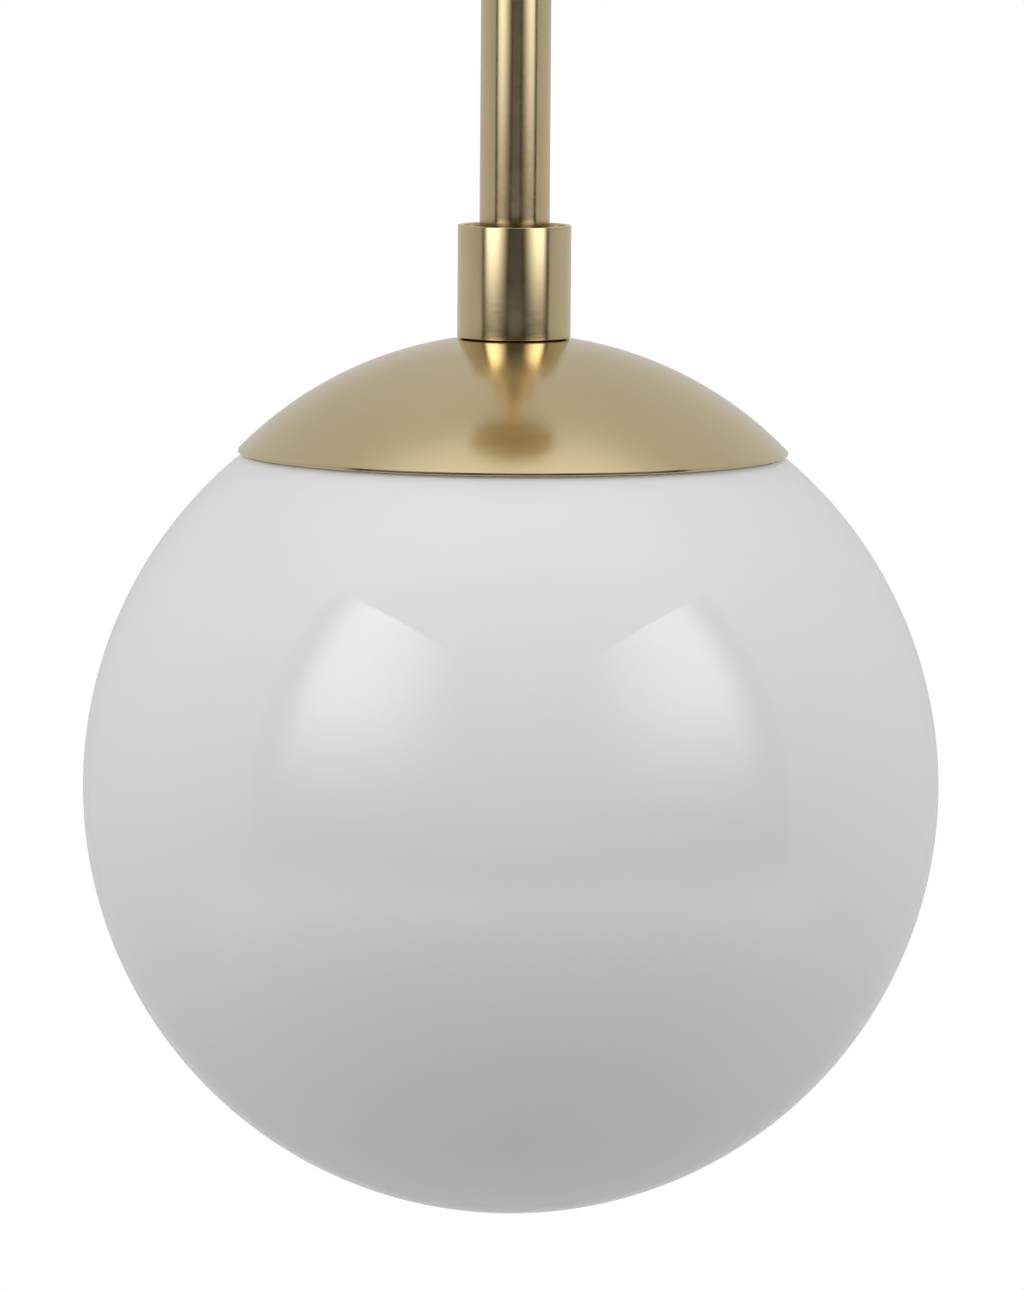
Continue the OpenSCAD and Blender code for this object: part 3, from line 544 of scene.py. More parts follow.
green_dye = mottled("green_dye", (0.03, 0.22, 0.09), 0.75, 0.36, (240, 4), (0.02, 0.16, 0.06),
                    (0.05, 0.30, 0.13), relief=(1500, 3, 0.00002, 0.6))
head_z = bar_low.z - 0.9 * mm
piece("ground_screw_green",
      screw(4 * mm, 2 * mm, stud_r, 2.7 * mm, head_z, (ground_at.x, ground_at.y), turn=0.4,
            slot=1.0, up=False),
      "ceiling", green_dye, ["ground_screw"])

lead_r = 1.1 * mm
copper = mottled("copper_strand", (0.86, 0.42, 0.24), 1.0, 0.3, (600, 3), (0.78, 0.36, 0.20),
                 (0.90, 0.50, 0.30))
green_skin = insulation("green_insulation", (0.02, 0.16, 0.06), (0.03, 0.22, 0.09))
nut_at = sum(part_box("ground_connector"), Vector()) / 2
hook_z = bar_low.z - 1.6 * mm
lead_top = -6.5 * mm
lead_bend = 4 * mm
connector_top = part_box("ground_connector")[1].z
ground_run = rounded_run([
    (ground_at.x - 3.2 * mm, ground_at.y + 5.6 * mm, hook_z),
    (ground_at.x - 6 * mm, ground_at.y + 16 * mm, hook_z),
    (nut_at.x, nut_at.y, lead_top),
    (nut_at.x, nut_at.y, connector_top - 4 * mm)], lead_bend)
piece("ground_lead_green", wire(ground_run, lead_r), "ceiling", green_skin,
      ["ground_lead"])
loop_r, loop_z, copper_r = 2.9 * mm, bar_low.z - 0.45 * mm, 0.42 * mm
hook = [Vector((ground_at.x - 3.1 * mm, ground_at.y + 6.2 * mm, hook_z + 0.1 * mm))]
hook += [Vector((ground_at.x + loop_r * math.cos(a), ground_at.y + loop_r * math.sin(a), loop_z))
         for a in [math.radians(140 + 24 * k) for k in range(11)]]
piece("ground_lead_copper", wire(hook, copper_r), "ceiling", copper)

# ---------------------------------------------------------------------------------------------
# Twist-on connectors. Moulded orange thimbles with grip ribs and a wider ribbed skirt, open at
# the top; one takes the ground lead, and two hang from the leads that come up the stem.


def moulded(name, colour, high, rough=0.38, relief=0.00004):
    """Injection-moulded plastic: an even spark-eroded texture and slight flow marks."""
    return mottled(name, colour, 0.0, rough, (70, 3), colour, high,
                   shine=(500, 4, rough - 0.06, rough + 0.10), relief=(2200, 2, relief, 0.6))


orange = moulded("orange_plastic", (0.80, 0.22, 0.02), (0.88, 0.28, 0.03))
thimble_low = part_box("ground_connector")[0].z
thimble_r = 4.3 * mm
thimble_bore = 1.6 * mm


def thimble(x, y):
    """A connector at x, y: its open skirt, its ribbed taper and its closed nose."""
    skirt = carve(fluted(thimble_r, 0.25 * mm, 10, connector_top - 4.6 * mm, connector_top),
                  [peg(thimble_bore, connector_top - 3.5 * mm, connector_top + mm)])
    body = fluted(3.1 * mm, 0.35 * mm, 14, thimble_low + 0.8 * mm, connector_top - 4.4 * mm,
                  top=1.22, soft=0.1)
    nose = turned(corners(thimble_low, (0, 0), (2.3, 0, 0.5), (2.7, 1.2), (0, 1.2)),
                  closed=False, steps=32)
    for bm in (skirt, body, nose):
        bmesh.ops.translate(bm, vec=(x, y, 0), verts=bm.verts)
    return [skirt, body, nose]


connector_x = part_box("lead_connectors")[1].x - thimble_r
piece("ground_thimble", thimble(nut_at.x, nut_at.y), "ceiling", orange,
      ["ground_connector"])
piece("lead_thimbles", thimble(connector_x, 0) + thimble(-connector_x, 0), "seat",
      orange, ["lead_connectors"])

# ---------------------------------------------------------------------------------------------
# Swivel cup and keeper ring. Both turned from brass bar: the cup is seated on its flange in the
# canopy, and the keeper screws in over the ball.

ball_z = -22 * mm
cup_r = 15.1 * mm
groove_r = cup_r - 0.5 * mm
cup_bore = 13.1 * mm
seat_low, seat_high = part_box("swivel_seat")
flange_r = cup_high.x
flange_top = can_floor + 2 * mm
lip_z = seat_low.z - 0.05 * mm
mouth_r = min(v.co.xy.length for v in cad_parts["swivel_cup"].data.vertices)
piece("swivel_cup_brass", turned([
    (mouth_r, cup_low.z, 0.5 * mm), (cup_r - 1.2 * mm, cup_low.z, 0.6 * mm),
    (cup_r, cup_low.z + 1.6 * mm, 0.6 * mm), (cup_r, cup_low.z + 3.2 * mm, 0.15 * mm),
    (groove_r, cup_low.z + 3.5 * mm, 0.1 * mm), (groove_r, cup_low.z + 4.1 * mm, 0.1 * mm),
    (cup_r, cup_low.z + 4.4 * mm, 0.15 * mm), (cup_r, can_floor, 0.1 * mm),
    (flange_r, can_floor, 0.3 * mm), (flange_r, flange_top, 0.3 * mm),
    (cup_r, flange_top, 0.3 * mm), (cup_r, cup_high.z, 0.4 * mm),
    (cup_bore, cup_high.z, 0.3 * mm), (cup_bore, lip_z, 0.1 * mm), (mouth_r, lip_z, 0.2 * mm)],
    steps=128), "ceiling", turned_brass, ["swivel_cup"])


def ball_rise(radius, *heights):
    """The angles at which a sphere about the ball's centre passes the heights."""
    return [math.degrees(math.asin((z - ball_z) / radius)) for z in heights]


keep_low, keep_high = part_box("ball_keeper")
keep_r = 11.3 * mm
key_r, key_out = 0.9 * mm, 11.4 * mm
keeper = turned([(keep_high.x, keep_low.z, 0.2 * mm), (keep_high.x, keep_high.z, 0.3 * mm)]
                + arc(0, ball_z, keep_r, *ball_rise(keep_r, keep_high.z, keep_low.z), 10),
                steps=96)
keys = [peg(key_r, keep_high.z - 1.2 * mm, keep_high.z + mm,
            (key_out * math.cos(a), key_out * math.sin(a)), 20)
        for a in (math.pi / 4, 5 * math.pi / 4)]
piece("ball_keeper_ring", carve(keeper, keys), "ceiling", turned_brass,
      ["ball_keeper"])

# ---------------------------------------------------------------------------------------------
# Swivel seat. A turned nylon ring that the ball bears on; it turns in the cup with the stem.

nylon = mottled("nylon", (0.80, 0.77, 0.66), 0.0, 0.45, (120, 3), (0.76, 0.72, 0.60),
                (0.83, 0.80, 0.70), relief=(1400, 3, 0.00003, 0.5), Subsurface_Weight=0.2)
seat_r = 11.05 * mm
piece("swivel_seat_ring", turned(
    [(seat_high.x, seat_low.z, 0.3 * mm), (seat_high.x, seat_high.z, 0.3 * mm)]
    + arc(0, ball_z, seat_r, *ball_rise(seat_r, seat_high.z, seat_low.z), 16), steps=96),
    "seat", nylon, ["swivel_seat"])

# ---------------------------------------------------------------------------------------------
# Swivel ball. Brass, turned in one with its bored and threaded neck, which takes the stem; a
# plastic bushing in its top keeps the leads off the edge of the bore.

ball_r = 11 * mm
ball_flat = 9.5 * mm
bore_r = 3.6 * mm
neck_r = 5 * mm
ball_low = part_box("swivel_ball")[0].z
ball_nut_low, ball_nut_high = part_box("neck_nut")
neck_top = ball_nut_high.z + 0.2 * mm
polished = satin_brass("ball_brass", rough=0.14, lines=0.5)
top_deg = math.degrees(math.asin(ball_flat / ball_r))
low_deg = -math.degrees(math.acos(neck_r / ball_r))
piece("swivel_ball_brass", [
    turned([(bore_r, ball_z + ball_flat)] + arc(0, ball_z, ball_r, top_deg, low_deg, 36)
           + [(neck_r, neck_top), (bore_r, neck_top)], steps=96),
    thread(neck_r, 0.45 * mm, 1 * mm, ball_low, ball_nut_high.z + 0.25 * mm, bore=bore_r)],
    "stem", polished, ["swivel_ball"], sharp=50)
piece("neck_nut_brass", hex_nut(12 * mm, neck_r + 0.05 * mm, ball_nut_low.z, ball_nut_high.z),
      "stem", turned_brass, ["neck_nut"])
dark = moulded("dark_plastic", (0.018, 0.018, 0.02), (0.03, 0.03, 0.032))


def bushing(z, up):
    """A flanged sleeve in a bore: its lip stands on z, upwards if up is 1."""
    lip, length = 0.8 * mm * up, -5 * mm * up
    inner, sleeve, flange = bore_r - 0.7 * mm, bore_r - 0.05 * mm, bore_r + 1.2 * mm
    return turned([(inner, z + lip, 0.25 * mm), (flange, z + lip, 0.25 * mm),
                   (flange, z, 0.15 * mm), (sleeve, z), (sleeve, z + length, 0.1 * mm),
                   (inner, z + length, 0.1 * mm)], steps=64)


piece("ball_bushing_lip", bushing(ball_z + ball_flat, 1), "stem", dark,
      ["ball_bushing"])

# ---------------------------------------------------------------------------------------------
# Stem. Two lengths of drawn brass tube, tapped at both ends and joined butt to butt over a
# threaded nipple, so that only a hairline shows. A longer nipple carries the cap below.

drawn_brass = satin_brass("drawn_brass", rough=0.2, lines=0.4)
rod_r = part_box("upper_rod")[1].x
rod_bore = 5.05 * mm
rim_in, rim_out = 0.2 * mm, 0.12 * mm
nipple_depth, nipple_pitch = 0.5 * mm, 1 * mm
for name, stands_for in (("stem_tube_upper", "upper_rod"), ("stem_tube_lower", "lower_rod")):
    low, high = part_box(stands_for)
    piece(name, turned([(rod_bore, low.z, rim_in), (rod_r, low.z, rim_out),
                        (rod_r, high.z, rim_out), (rod_bore, high.z, rim_in)], steps=128),
          "stem", drawn_brass, [stands_for])
for name, stands_for in (("coupling_nipple", "rod_coupling"),
                         ("lower_nipple_thread", "lower_nipple")):
    low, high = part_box(stands_for)
    piece(name, thread(high.x, nipple_depth, nipple_pitch, low.z, high.z, bore=bore_r), "stem",
          zinc, [stands_for], sharp=25)

# ---------------------------------------------------------------------------------------------
# Lock nut, washer, spacer, spring hub and hub nut. The stack on the lower nipple that clamps the
# cap: a brass hexagon nut inside the collar, and plated steel pieces under the cap.

nut_bore = 5.05 * mm
wide_flats = 14 * mm
lock_low, lock_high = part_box("stem_lock_nut")
piece("stem_lock_nut_brass", hex_nut(wide_flats, nut_bore, lock_low.z, lock_high.z), "stem",
      turned_brass, ["stem_lock_nut"])


def ring(box, inner, soft, steps=96):
    """A flat turned ring that fills a box out to its side, with a hole of radius inner."""
    low, high = box
    return turned([(inner, low.z), (high.x, low.z), (high.x, high.z), (inner, high.z)],
                  soft=soft, steps=steps)


for name, stands_for in (("cap_washer_flat", "cap_washer"), ("cap_spacer_ring", "cap_spacer")):
    piece(name, ring(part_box(stands_for), nut_bore, 0.15 * mm), "stem", zinc,
          [stands_for])
hub_low, hub_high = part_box("spring_hub")
arm_angles = [math.radians(30 + 120 * k) for k in range(3)]
rivet_hole = 1.25 * mm
rivet_spots = [(r * mm * math.cos(a), r * mm * math.sin(a)) for a in arm_angles
               for r in (13.5, 18)]
drills = [peg(rivet_hole, hub_low.z - mm, hub_high.z + mm, spot) for spot in rivet_spots]
piece("spring_hub_plate", carve(ring((hub_low, hub_high), nut_bore, 0.15 * mm), drills), "stem",
      zinc, ["spring_hub"])
for name, stands_for in (("hub_nut_hex", "hub_nut"), ("bracket_nut_hex", "bracket_nut")):
    low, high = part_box(stands_for)
    piece(name, hex_nut(wide_flats, nut_bore, low.z, high.z), "stem", zinc,
          [stands_for])

# ---------------------------------------------------------------------------------------------
# Cap. A shallow dome spun from 0.8 mm brass with a short straight lip, brushed round on the
# lathe; its bright cut edge sits just clear of the glass.

cap_low, cap_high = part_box("cap")
cap_r = cap_high.x
cap_wall = 0.8 * mm
cap_hole = 5.2 * mm
dome_r = 68.397 * mm
dome_z = cap_high.z - math.sqrt(dome_r ** 2 - cap_hole ** 2)
lip_top = dome_z + math.sqrt(dome_r ** 2 - cap_r ** 2)
edge_deg = math.degrees(math.asin((lip_top - dome_z) / dome_r))
hole_deg = math.degrees(math.acos(cap_hole / dome_r))
in_r = dome_r - cap_wall
in_edge = math.degrees(math.acos((cap_r - cap_wall) / in_r))
in_hole = math.degrees(math.acos(cap_hole / in_r))
cap_brass = satin_brass("cap_brass", rough=0.17, lines=0.8, drag=0.5)
piece("cap_dome", turned(
    [(cap_r, cap_low.z, 0.12 * mm)] + arc(0, dome_z, dome_r, edge_deg, hole_deg, 72)
    + arc(0, dome_z, in_r, in_hole, in_edge, 60) + [(cap_r - cap_wall, cap_low.z, 0.12 * mm)],
    steps=240), "stem", cap_brass, ["cap"])

# ---------------------------------------------------------------------------------------------
# Collar. A loose sleeve cut from thin brass tube: gravity rests it on the cap, hiding the lock
# nut, and it lifts up the stem.

col_low, col_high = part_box("collar")
col_wall = 1 * mm
collar_brass = satin_brass("collar_brass", rough=0.22, lines=0.4)
piece("collar_sleeve", ring((col_low, col_high), col_high.x - col_wall, 0.14 * mm, 160),
      "collar", collar_brass, ["collar"])

# ---------------------------------------------------------------------------------------------
# Spring arms and rivets. Three leaves of cold-rolled strip riveted under the hub; each drops
# through the opening and hooks out under the glass. Brass rivets, headed over by a punch.


def bent_strip(points, width, thick, bend=1.0):
    """A strip bent along points of (radius, height), with each bend rounded."""
    run = [Vector((p[0], 0, p[1])) for p in points]
    run = rounded_run(run, bend * mm, 5)
    bm = bmesh.new()
    line = [bm.verts.new((p.x, -width / 2, p.z)) for p in run]
    edges = [bm.edges.new(pair) for pair in zip(line, line[1:])]
    wide = bmesh.ops.extrude_edge_only(bm, edges=edges)["geom"]
    bmesh.ops.translate(bm, vec=(0, width, 0),
                        verts=[v for v in wide if isinstance(v, bmesh.types.BMVert)])
    bmesh.ops.recalc_face_normals(bm, faces=bm.faces)
    bmesh.ops.solidify(bm, geom=bm.faces[:], thickness=thick)
    solid(bm)
    start = [v.co.z for v in bm.verts if v.co.x < points[0][0] + mm]
    bmesh.ops.translate(bm, vec=(0, 0, points[0][1] - sum(start) / len(start)), verts=bm.verts)
    return bm


globe_low, globe_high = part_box("globe")
globe_r = globe_high.x
globe_z = globe_low.z + globe_r
globe_wall = 3 * mm
globe_in = globe_r - globe_wall
open_r = 40 * mm


def glass(radius, out):
    """The height at which glass of a radius stands out from the globe's own middle line."""
    return globe_z + math.sqrt(radius ** 2 - out ** 2)


strip, tree, shader = finish("spring_strip", (0.42, 0.43, 0.45), 1.0, 0.28, Anisotropic=0.3)
fine = node(tree, "VectorMath", [(0, place(tree)), (1, (900, 900, 900))],
            operation="MULTIPLY").outputs[0]
tint(tree, shader, spread(tree, grain(tree, fine, 0.4, 4), 0, 1), (0.36, 0.37, 0.39),
     (0.48, 0.48, 0.50))
tree.links.new(spread(tree, grain(tree, fine, 1.4, 4), 0.22, 0.40), shader.inputs["Roughness"])
bump(tree, shader, grain(tree, fine, 2.5, 3), 0.00001, 0.7)
arm_t, arm_w = 0.5 * mm, 7 * mm
arm_flat = hub_low.z - arm_t / 2
pass_r = open_r - arm_t / 2 - 0.6 * mm
hook_r = open_r + 2.3 * mm
hook_z = glass(globe_in - arm_t / 2 - 0.3 * mm, hook_r)
for number, angle in enumerate(arm_angles, 1):
    arm = bent_strip([(11 * mm, arm_flat), (24 * mm, arm_flat),
                      (pass_r, glass(globe_r, open_r) + 1.5 * mm),
                      (pass_r, glass(globe_in, open_r) - 0.3 * mm), (hook_r, hook_z),
                      (hook_r - 4 * mm, hook_z - 4.5 * mm)], arm_w, arm_t, 0.8)
    bmesh.ops.rotate(arm, cent=(0, 0, 0), verts=arm.verts,
                     matrix=Matrix.Rotation(angle, 3, "Z"))
    piece(f"spring_leaf_{number}", arm, "stem", strip, [f"spring_arm_{number}"])
rivet = (corners(arm_flat, (0, -0.85), (1.1, -0.8, 0.2), (1.9, -0.35, 0.15), (1.9, -0.25),
                 (1.2, -0.25)) + corners(hub_high.z, (1.2, 0), (0.9, 0.1), (0, 0.1)))
piece("spring_rivets", [turned(rivet, closed=False, at=spot, steps=32) for spot in rivet_spots],
      "stem", turned_brass, ["arm_rivets"])

# ---------------------------------------------------------------------------------------------
# Gasket. A soft silicone ring under the cap that keeps brass off glass.

silicone = mottled("silicone", (0.78, 0.78, 0.76), 0.0, 0.5, (200, 3), (0.74, 0.74, 0.71),
                   (0.82, 0.82, 0.80), relief=(1200, 3, 0.00003, 0.5), Subsurface_Weight=0.3)
gas_low, gas_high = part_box("shade_gasket")
gas_r = (gas_high.z - gas_low.z) / 2
piece("gasket_ring", turned(arc(gas_high.x - gas_r, gas_low.z + gas_r, gas_r, 0, 337.5, 15),
                            steps=160), "stem", silicone, ["shade_gasket"], sharp=60)

# ---------------------------------------------------------------------------------------------
# Lampholder bracket. A steel strap folded to a top-hat section, gripped between two nuts on the
# nipple and screwed to the porcelain.

brk_low, brk_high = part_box("holder_bracket")
holder_top = brk_low.z
brk_t = 1.5 * mm
brk_half = 9 * mm
foot_t = 1.2 * mm
brk_w = brk_high.y
brk_screw_x = 13 * mm
screw_hole = 1.75 * mm
top = block((-brk_half, -brk_w, brk_high.z - brk_t), (brk_half, brk_w, brk_high.z), 0.25 * mm)
folds = []
drills = [peg(nut_bore, brk_low.z, brk_high.z + mm)]
pair = []
for side in (-1, 1):
    x0, x1 = sorted((side * brk_half, side * (brk_half - foot_t)))
    folds.append(block((x0, -brk_w, holder_top + 0.1 * mm),
                       (x1, brk_w, brk_high.z - 0.2 * mm), 0.2 * mm))
    x0, x1 = sorted((side * (brk_half - foot_t), side * brk_high.x))
    folds.append(block((x0, -brk_w, holder_top), (x1, brk_w, holder_top + foot_t), 0.25 * mm))
    at = (side * brk_screw_x, 0)
    drills.append(peg(screw_hole, holder_top - mm, holder_top + 2 * mm, at))
    pair += screw(3 * mm, 1.8 * mm, 1.7 * mm, 6 * mm, holder_top + foot_t, at, turn=0.9 * side)
piece("holder_bracket_strap", carve(carve(top, folds, "UNION"), drills), "stem",
      zinc, ["holder_bracket"])
piece("bracket_screw_pair", pair, "stem", zinc, ["bracket_screws"])
piece("nipple_bushing_lip", bushing(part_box("lower_nipple")[0].z, -1), "stem",
      dark, ["nipple_bushing"])

# ---------------------------------------------------------------------------------------------
# Lampholder body. Slip-cast porcelain, glazed all over: a stepped cylinder with a wiring channel
# across its top and a deep well for the screw shell.

porcelain = mottled("glazed_porcelain", (0.83, 0.815, 0.76), 0.0, 0.22, (60, 4),
                    (0.80, 0.78, 0.72), (0.86, 0.845, 0.79), shine=(400, 5, 0.16, 0.32),
                    relief=(170, 4, 0.00006, 0.5), Coat_Weight=1.0, Coat_Roughness=0.05,
                    Subsurface_Weight=0.08)
body_low, body_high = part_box("holder_body")
body_r = body_high.x
well_low, well_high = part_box("holder_shell")
step_z = body_low.z + 13 * mm
skirt_r = body_r - 1.5 * mm
well_r = well_high.x + 0.3 * mm
cast = turned([
    (0, body_high.z), (body_r, body_high.z, 1.4 * mm), (body_r, step_z + 1 * mm, 0.8 * mm),
    (skirt_r, step_z - 0.8 * mm, 0.8 * mm), (skirt_r, body_low.z, 1.2 * mm),
    (well_r, body_low.z, 1 * mm), (well_r, well_high.z, 0.4 * mm), (0, well_high.z)],
    closed=False, steps=128)
channel_z = holder_top - 5.5 * mm
channel_w, channel_len = 5 * mm, 16.2 * mm
term_y = 13 * mm
cuts = [block((-channel_w, -channel_len, channel_z),
              (channel_w, channel_len, holder_top + 5 * mm), 0.4 * mm)]
for side in (-1, 1):
    cuts.append(peg(screw_hole, channel_z - 5 * mm, channel_z + mm, (0, side * term_y)))
    cuts.append(peg(screw_hole, holder_top - 6 * mm, holder_top + mm, (side * brk_screw_x, 0)))
piece("holder_porcelain", carve(cast, cuts), "stem", porcelain, ["holder_body"])

# ---------------------------------------------------------------------------------------------
# Screw shell, centre contact and terminals. The shell is rolled from thin brass with the bulb's
# round thread; the contact is a sprung tongue. Two strips carry each to its terminal screw.

bright_brass = satin_brass("shell_brass", rough=0.2, lines=0.4)


def rolled_shell(outer, depth, pitch, z0, z1, wall):
    """A thin sleeve with a round rolled thread, its wall even all along."""
    wave = [(outer - depth * (0.5 - 0.5 * math.cos(math.pi * k / 6)), k / 12)
            for k in range(13)]
    bm = wound(wave, pitch, z0, z1, 72)
    bmesh.ops.recalc_face_normals(bm, faces=bm.faces)
    centre = bm.faces[:][0]
    if centre.normal.xy.dot(centre.calc_center_median().xy) < 0:
        bmesh.ops.reverse_faces(bm, faces=bm.faces)
    bmesh.ops.solidify(bm, geom=bm.faces[:], thickness=wall)
    return solid(bm)


shell_out = well_high.x
root_r, skin_r, eye_r = shell_out - 0.9 * mm, shell_out - 0.5 * mm, 6.5 * mm
turn_depth, turn_pitch = 0.9 * mm, 3.63 * mm
piece("holder_screw_shell", [
    rolled_shell(shell_out, turn_depth, turn_pitch, well_low.z, well_high.z - 1.2 * mm,
                 0.35 * mm),
    turned([(root_r, well_high.z - 1.3 * mm), (skin_r, well_high.z - 1.3 * mm),
            (skin_r, well_high.z, 0.3 * mm), (eye_r, well_high.z),
            (eye_r, well_high.z - 0.4 * mm), (root_r, well_high.z - 0.4 * mm)], steps=96)],
    "stem", bright_brass, ["holder_shell"], sharp=60)
con_low, con_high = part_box("holder_contact")
tongue = bent_strip(corners(con_high.z, (-3.9, -0.3), (3, -0.3), (3.6, -0.9))
                    + corners(con_low.z, (-1.2, 0.3), (-2.6, 0.75)), 4.4 * mm, 0.35 * mm, 0.25)
piece("holder_contact_tongue", tongue, "stem", bright_brass, ["holder_contact"])
for side, lead_name in ((1, "line"), (-1, "neutral")):
    low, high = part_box(lead_name + "_terminal")
    hole = peg(1.7 * mm, low.z - mm, high.z + mm, (0, side * term_y))
    piece(lead_name + "_strip", carve(block(low, high, 0.15 * mm), [hole]), "stem",
          bright_brass, [lead_name + "_terminal"])
riv_low, riv_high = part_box("holder_rivets")
riv_r = 1.2 * mm
rivet = (corners(riv_low.z, (0, 0), (1.0, 0, 0.2), (1.2, 0.4))
         + corners(riv_high.z, (1.2, -0.2), (1.0, 0), (0, 0)))
piece("holder_rivet_pair",
      [turned(rivet, closed=False, at=(0, y), steps=32)
       for y in (riv_high.y - riv_r, riv_low.y + riv_r)],
      "stem", bright_brass, ["holder_rivets"])
nickel = zinc_plate("nickel_plate", (0.66, 0.64, 0.60), (0.74, 0.72, 0.68), 0.22)
for side, name, stands_for, slot_name, metal, turn in (
        (1, "line_screw_brass", "line_screw", "satin_brass", bright_brass, 0.6),
        (-1, "neutral_screw_nickel", "neutral_screw", "nickel", nickel, -0.3)):
    piece(name, screw(2.9 * mm, 2.1 * mm, 1.7 * mm, 6.5 * mm, channel_z + 2.4 * mm,
                      (0, side * term_y), turn=turn), "stem", metal, [stands_for])

# ---------------------------------------------------------------------------------------------
# Leads. Two stranded copper leads, black to the line terminal and white to the neutral, run up
# the stem, out of the ball and over into their connectors, with slack for the swivel.

lead_end = 9.9 * mm
lead_side = 1.35 * mm
run_z = channel_z + 1.8 * mm
strand_count, strand_r, lay_r = 5, 0.19 * mm, 0.3 * mm
for side, name, slot_name, colour, high in (
        (1, "line", "black_insulation", (0.012, 0.012, 0.013), (0.022, 0.022, 0.023)),
        (-1, "neutral", "white_insulation", (0.72, 0.72, 0.69), (0.78, 0.78, 0.75))):
    run = rounded_run([(0, side * lead_end, run_z), (0, side * lead_side, run_z),
                       (0, side * lead_side, lead_top), (side * connector_x, 0, lead_top),
                       (side * connector_x, 0, connector_top - 3.5 * mm)], 2.5 * mm)
    dense = []
    for a, b in zip(run, run[1:]):
        count = max(1, round((b - a).length / mm)) if max(a.z, b.z) > ball_z else 1
        dense += [a.lerp(b, j / count) for j in range(count)]
    dense.append(run[-1])
    bm = wire(dense, lead_r)
    mesh = bpy.data.meshes.new(name + "_lead_skin")
    bm.to_mesh(mesh)
    bm.free()
    mesh.polygons.foreach_set("use_smooth", [True] * len(mesh.polygons))
    mesh.set_sharp_from_angle(angle=math.radians(50))
    mesh.materials.append(insulation(slot_name, colour, high))
    lead = bpy.data.objects.new(name + "_lead_skin", mesh)
    scene.collection.objects.link(lead)
    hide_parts(name + "_lead")
    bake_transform(lead)
    strands = []
    y0, y1 = lead_end - 0.4 * mm, term_y - 1.8 * mm
    for k in range(strand_count):
        twist = [math.radians(360 / strand_count * k + 60 * j) for j in range(7)]
        strands.append(wire([Vector((lay_r * math.cos(a), side * (y0 + (y1 - y0) * j / 6),
                                     run_z + lay_r * math.sin(a)))
                             for j, a in enumerate(twist)], strand_r, 8))
    piece(name + "_lead_copper", strands, "stem", copper)

# ---------------------------------------------------------------------------------------------
# Globe. Opal glass blown in a mould with no neck: its opening is cut and fire-polished, and the
# whole skin is a smooth milk white.

opal = mottled("opal_glass", (0.91, 0.905, 0.93), 0.0, 0.035, (9, 3), (0.903, 0.898, 0.925),
               (0.917, 0.912, 0.936), shine=(60, 4, 0.028, 0.045), relief=(14, 2, 0.0002, 0.25),
               centre=(0, 0, globe_z), IOR=1.5, Subsurface_Weight=0.35, Subsurface_Scale=0.004,
               Subsurface_Radius=(1, 1, 1))
out_deg = math.degrees(math.acos(open_r / globe_r))
in_deg = math.degrees(math.acos(open_r / globe_in))
short = 0.8
polish = 1.0 * mm
blown = turned(arc(0, globe_z, globe_in, -90, in_deg - short, 96)
               + [(open_r, glass(globe_in, open_r), polish),
                  (open_r, glass(globe_r, open_r), polish)]
               + arc(0, globe_z, globe_r, out_deg - short, -90, 110), closed=False, steps=256)
piece("globe_glass", blown, "globe", opal, ["globe"], sharp=60)

# ---------------------------------------------------------------------------------------------
# Bulb. A small frosted LED lamp: rolled nickel base, black glass insulator, moulded housing, a
# board of LEDs with its driver behind, and a frosted plastic dome.

base_low, base_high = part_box("bulb_base")
base_r = base_high.x
base_root, base_skin = base_r - 0.9 * mm, base_r - 0.45 * mm
piece("bulb_base_nickel", [
    rolled_shell(base_r, turn_depth, turn_pitch, base_low.z, base_high.z - 2 * mm, 0.3 * mm),
    turned([(base_root, base_high.z - 2.2 * mm), (base_skin, base_high.z - 2.2 * mm),
            (base_skin, base_high.z - 0.8 * mm, 0.3 * mm), (base_r - 1.4 * mm, base_high.z),
            (base_r - 1.7 * mm, base_high.z - 0.3 * mm), (base_root, base_high.z - 1 * mm)],
           steps=96)], "bulb", nickel, ["bulb_base"], sharp=60)
black_glass, tree, shader = finish("black_glass", (0.012, 0.012, 0.014), 0.0, 0.12,
                                   Coat_Weight=0.5)
bump(tree, shader, grain(tree, place(tree), 260, 3), 0.00006, 0.5)
tint(tree, shader, grain(tree, place(tree), 150, 3), (0.008, 0.008, 0.010), (0.02, 0.02, 0.024))
ins_low, ins_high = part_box("bulb_insulator")
piece("bulb_insulator_glass", turned([
    (0, ins_low.z), (ins_high.x, ins_low.z, 0.2 * mm),
    (ins_high.x, base_high.z - 0.3 * mm, 0.4 * mm), (4.7 * mm, ins_high.z, 0.4 * mm),
    (0, ins_high.z)], closed=False), "bulb", black_glass, ["bulb_insulator"])
tip_low, tip_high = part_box("bulb_tip")
piece("bulb_tip_solder", turned(
    corners(tip_low.z, (0, -0.1), (4.7, -0.1), (4.5, 0.35, 0.3))
    + corners(tip_high.z, (2.6, -0.1, 0.5), (0, 0)), closed=False, steps=48),
    "bulb", nickel, ["bulb_tip"])
white = moulded("white_plastic", (0.82, 0.82, 0.805), (0.86, 0.86, 0.845), 0.3, 0.00002)
hou_low, hou_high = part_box("bulb_housing")
seam_r, bulb_wall = hou_high.x, 1.2 * mm
neck = base_r - 0.45 * mm - 0.6 * mm
shoulder_z = base_low.z - 2 * mm
